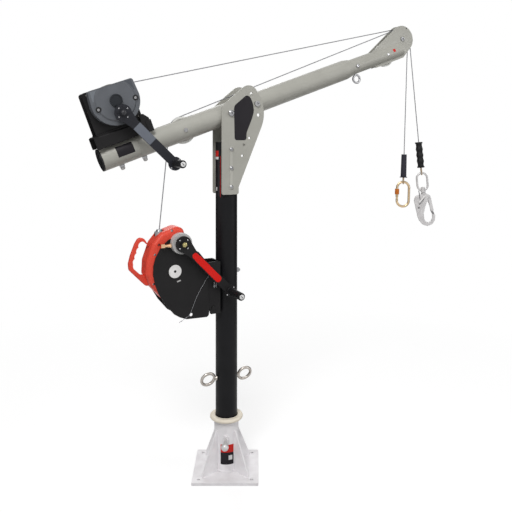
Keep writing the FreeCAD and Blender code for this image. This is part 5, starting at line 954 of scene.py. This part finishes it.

# Winch's cover: darker cap, screws in deep wells with painted shade in and round them, and the moulded facets outside
# the raised disc, painted lighter on the left and darker on the right as light and shade

COVER_Y, CAP_Y, WELL_RIM_Y = -0.0842, -0.0902, -0.09
SCREWS_ALONG, SCREWS_UP = (-0.0819, 0.08295), -0.0147
COVER_CAP = [(0.0272, 0), (0.0272, 0.0062), (0.0262, 0.0074), (0.0218, 0.0078), (0.0212, 0.0058)]
COVER_SCREW = [(0.0064, 0), (0.0064, 0.0036), (0.0056, 0.0042), (0.0032, 0.0042), (0.0032, 0.0024)]
lathe("cover_cap_face", COVER_CAP, DRUM + Y * CAP_Y, -Y, EXTRA["cap_grey"], "jib", steps=56)
for i, along in enumerate(SCREWS_ALONG):
    face, rim = (by_jib(DRUM, along, SCREWS_UP, y) for y in (COVER_Y, WELL_RIM_Y))
    # Painted shade: a dark ring at the foot of each screw's well, and a wider dark ring round its rim
    washer("cover_well_%d" % i, 0.0066, 0.0095, 0.0004, face, -Y, EXTRA["black_and_painted_shade"], "jib")
    washer("cover_well_rim_%d" % i, 0.0097, 0.0124, 0.0003, rim, -Y, EXTRA["black_and_painted_shade"], "jib")
    lathe("cover_screw_face_%d" % i, COVER_SCREW, face, -Y, LOOKS["bright"], "jib", steps=32)

FACET_R = 0.0905
FACET_T = 0.0012
beside_disc = [(math.cos(math.radians(a)) * FACET_R, math.sin(math.radians(a)) * FACET_R)
               for a in range(46, 13, -4)]
corner = beside_disc + [(0.0925, 0.0205), (0.0912, 0.0655), (0.0645, 0.0655)]
mirrored = [(-x, t) for x, t in reversed(corner)]
# The left facet is painted lighter as lit, the right one darker as shaded
for side, outline, look in (("left", mirrored, "slate_painted_lit"), ("right", corner, "slate_painted_shade")):
    plate("cover_facet_" + side, outline, -FACET_T, DRUM + Y * COVER_Y, JIB_ALONG, JIB_UP, EXTRA[look], "jib")

# Lamps and stage

LAMP_TARGET = Vector((0, 0, 1.2))


def lamp(name, place, size, watts):
    light = bpy.data.lights.new(name, "AREA")
    light.shape = "DISK"
    light.size = size
    light.energy = watts
    obj = put(name, light)
    obj.location = place
    aim(obj, LAMP_TARGET - Vector(place))


lamp("key", (-2.4, -3.2, 5.0), size=2.2, watts=172)
lamp("fill", (3.6, -3.0, 2.6), size=2.6, watts=46)
lamp("back", (1.0, 4.2, 3.8), size=2.6, watts=48)

FLAG_NEAR, FLAG_FAR, FLAG_HIGH = 0.2, 9, 4.5
FLAG_SPLAY = 1.6


def flag(name, side):
    """A dark wall beside the set, which only reflections show, so that bright metal keeps its edges."""
    near, far = ACROSS * side + LOOK * FLAG_NEAR, ACROSS * side * FLAG_SPLAY + LOOK * FLAG_FAR
    top = Z * FLAG_HIGH
    obj = put(name, mesh_of(name, [near, far, far + top, near + top], [(0, 1, 2, 3)]))
    wear(obj, EXTRA["black_and_painted_shade"])
    for ray in ("camera", "diffuse", "shadow", "transmission"):
        setattr(obj, "visible_" + ray, False)
    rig.stage(obj)


flag("flag_left", -1.9)
flag("flag_right", 1.9)


def math_of(tree, operation, first, second):
    """One maths node on two sockets or a socket and a number."""
    node = tree.nodes.new("ShaderNodeMath")
    node.operation = operation
    tree.links.new(first, node.inputs[0])
    if isinstance(second, (int, float)):
        node.inputs[1].default_value = second
    else:
        tree.links.new(second, node.inputs[1])
    return node.outputs[0]


def seen_rays(tree):
    """1 for what the camera, reflections and glass see, 0 for light that falls on the object."""
    path = tree.nodes.new("ShaderNodeLightPath")
    both = math_of(tree, "MAXIMUM", path.outputs["Is Camera Ray"], path.outputs["Is Glossy Ray"])
    return math_of(tree, "MAXIMUM", both, path.outputs["Is Transmission Ray"])


def light_world(glow):
    """A world that is white where it is seen, and dimmer as a light."""
    world = bpy.data.worlds.new("studio")
    bpy.context.scene.world = world
    world.use_nodes = True
    tree = world.node_tree
    strength = tree.nodes.new("ShaderNodeMapRange")
    strength.inputs["To Min"].default_value = glow
    strength.inputs["To Max"].default_value = 1.0
    background = tree.nodes["Background"]
    background.inputs["Color"].default_value = (1, 1, 1, 1)
    tree.links.new(seen_rays(tree), strength.inputs["Value"])
    tree.links.new(strength.outputs["Result"], background.inputs["Strength"])


def lay_floor(half, glow, fade_from, fade_to):
    """A matte floor that takes the crane's shadow and fades to plain white further out."""
    corners = [(-half, -half, 0), (half, -half, 0), (half, half, 0), (-half, half, 0)]
    floor = put("floor", mesh_of("floor", corners, [(0, 1, 2, 3)]))
    floor.location.z = -0.0005
    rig.stage(floor)
    tree = Tree("floor_matte").set(Base_Color=(0.5, 0.5, 0.5, 1), Roughness=0.9, Specular_IOR_Level=0.1,
                                   Emission_Color=(1, 1, 1, 1))
    seen = seen_rays(tree)
    tree.links.new(math_of(tree, "MULTIPLY", seen, glow), tree.shader.inputs["Emission Strength"])
    place = tree.add("TexCoord")
    reach = tree.add("VectorMath", operation="LENGTH")
    fade = tree.add("MapRange", From_Min=fade_from, From_Max=fade_to)
    sweep = tree.add("Emission", Strength=1.0)
    mixed = tree.add("MixShader")
    tree.join(place, "Object", reach, 0)
    tree.join(reach, "Value", fade, "Value")
    tree.links.new(math_of(tree, "MULTIPLY", seen, fade.outputs["Result"]), mixed.inputs[0])
    tree.join(tree.shader, "BSDF", mixed, 1)
    tree.join(sweep, "Emission", mixed, 2)
    tree.join(mixed, "Shader", tree.nodes["Material Output"], "Surface")
    wear(floor, tree.material)


light_world(glow=0.38)
lay_floor(half=40, glow=0.6, fade_from=0.9, fade_to=3.0)

save_size("dressed", SIZES)
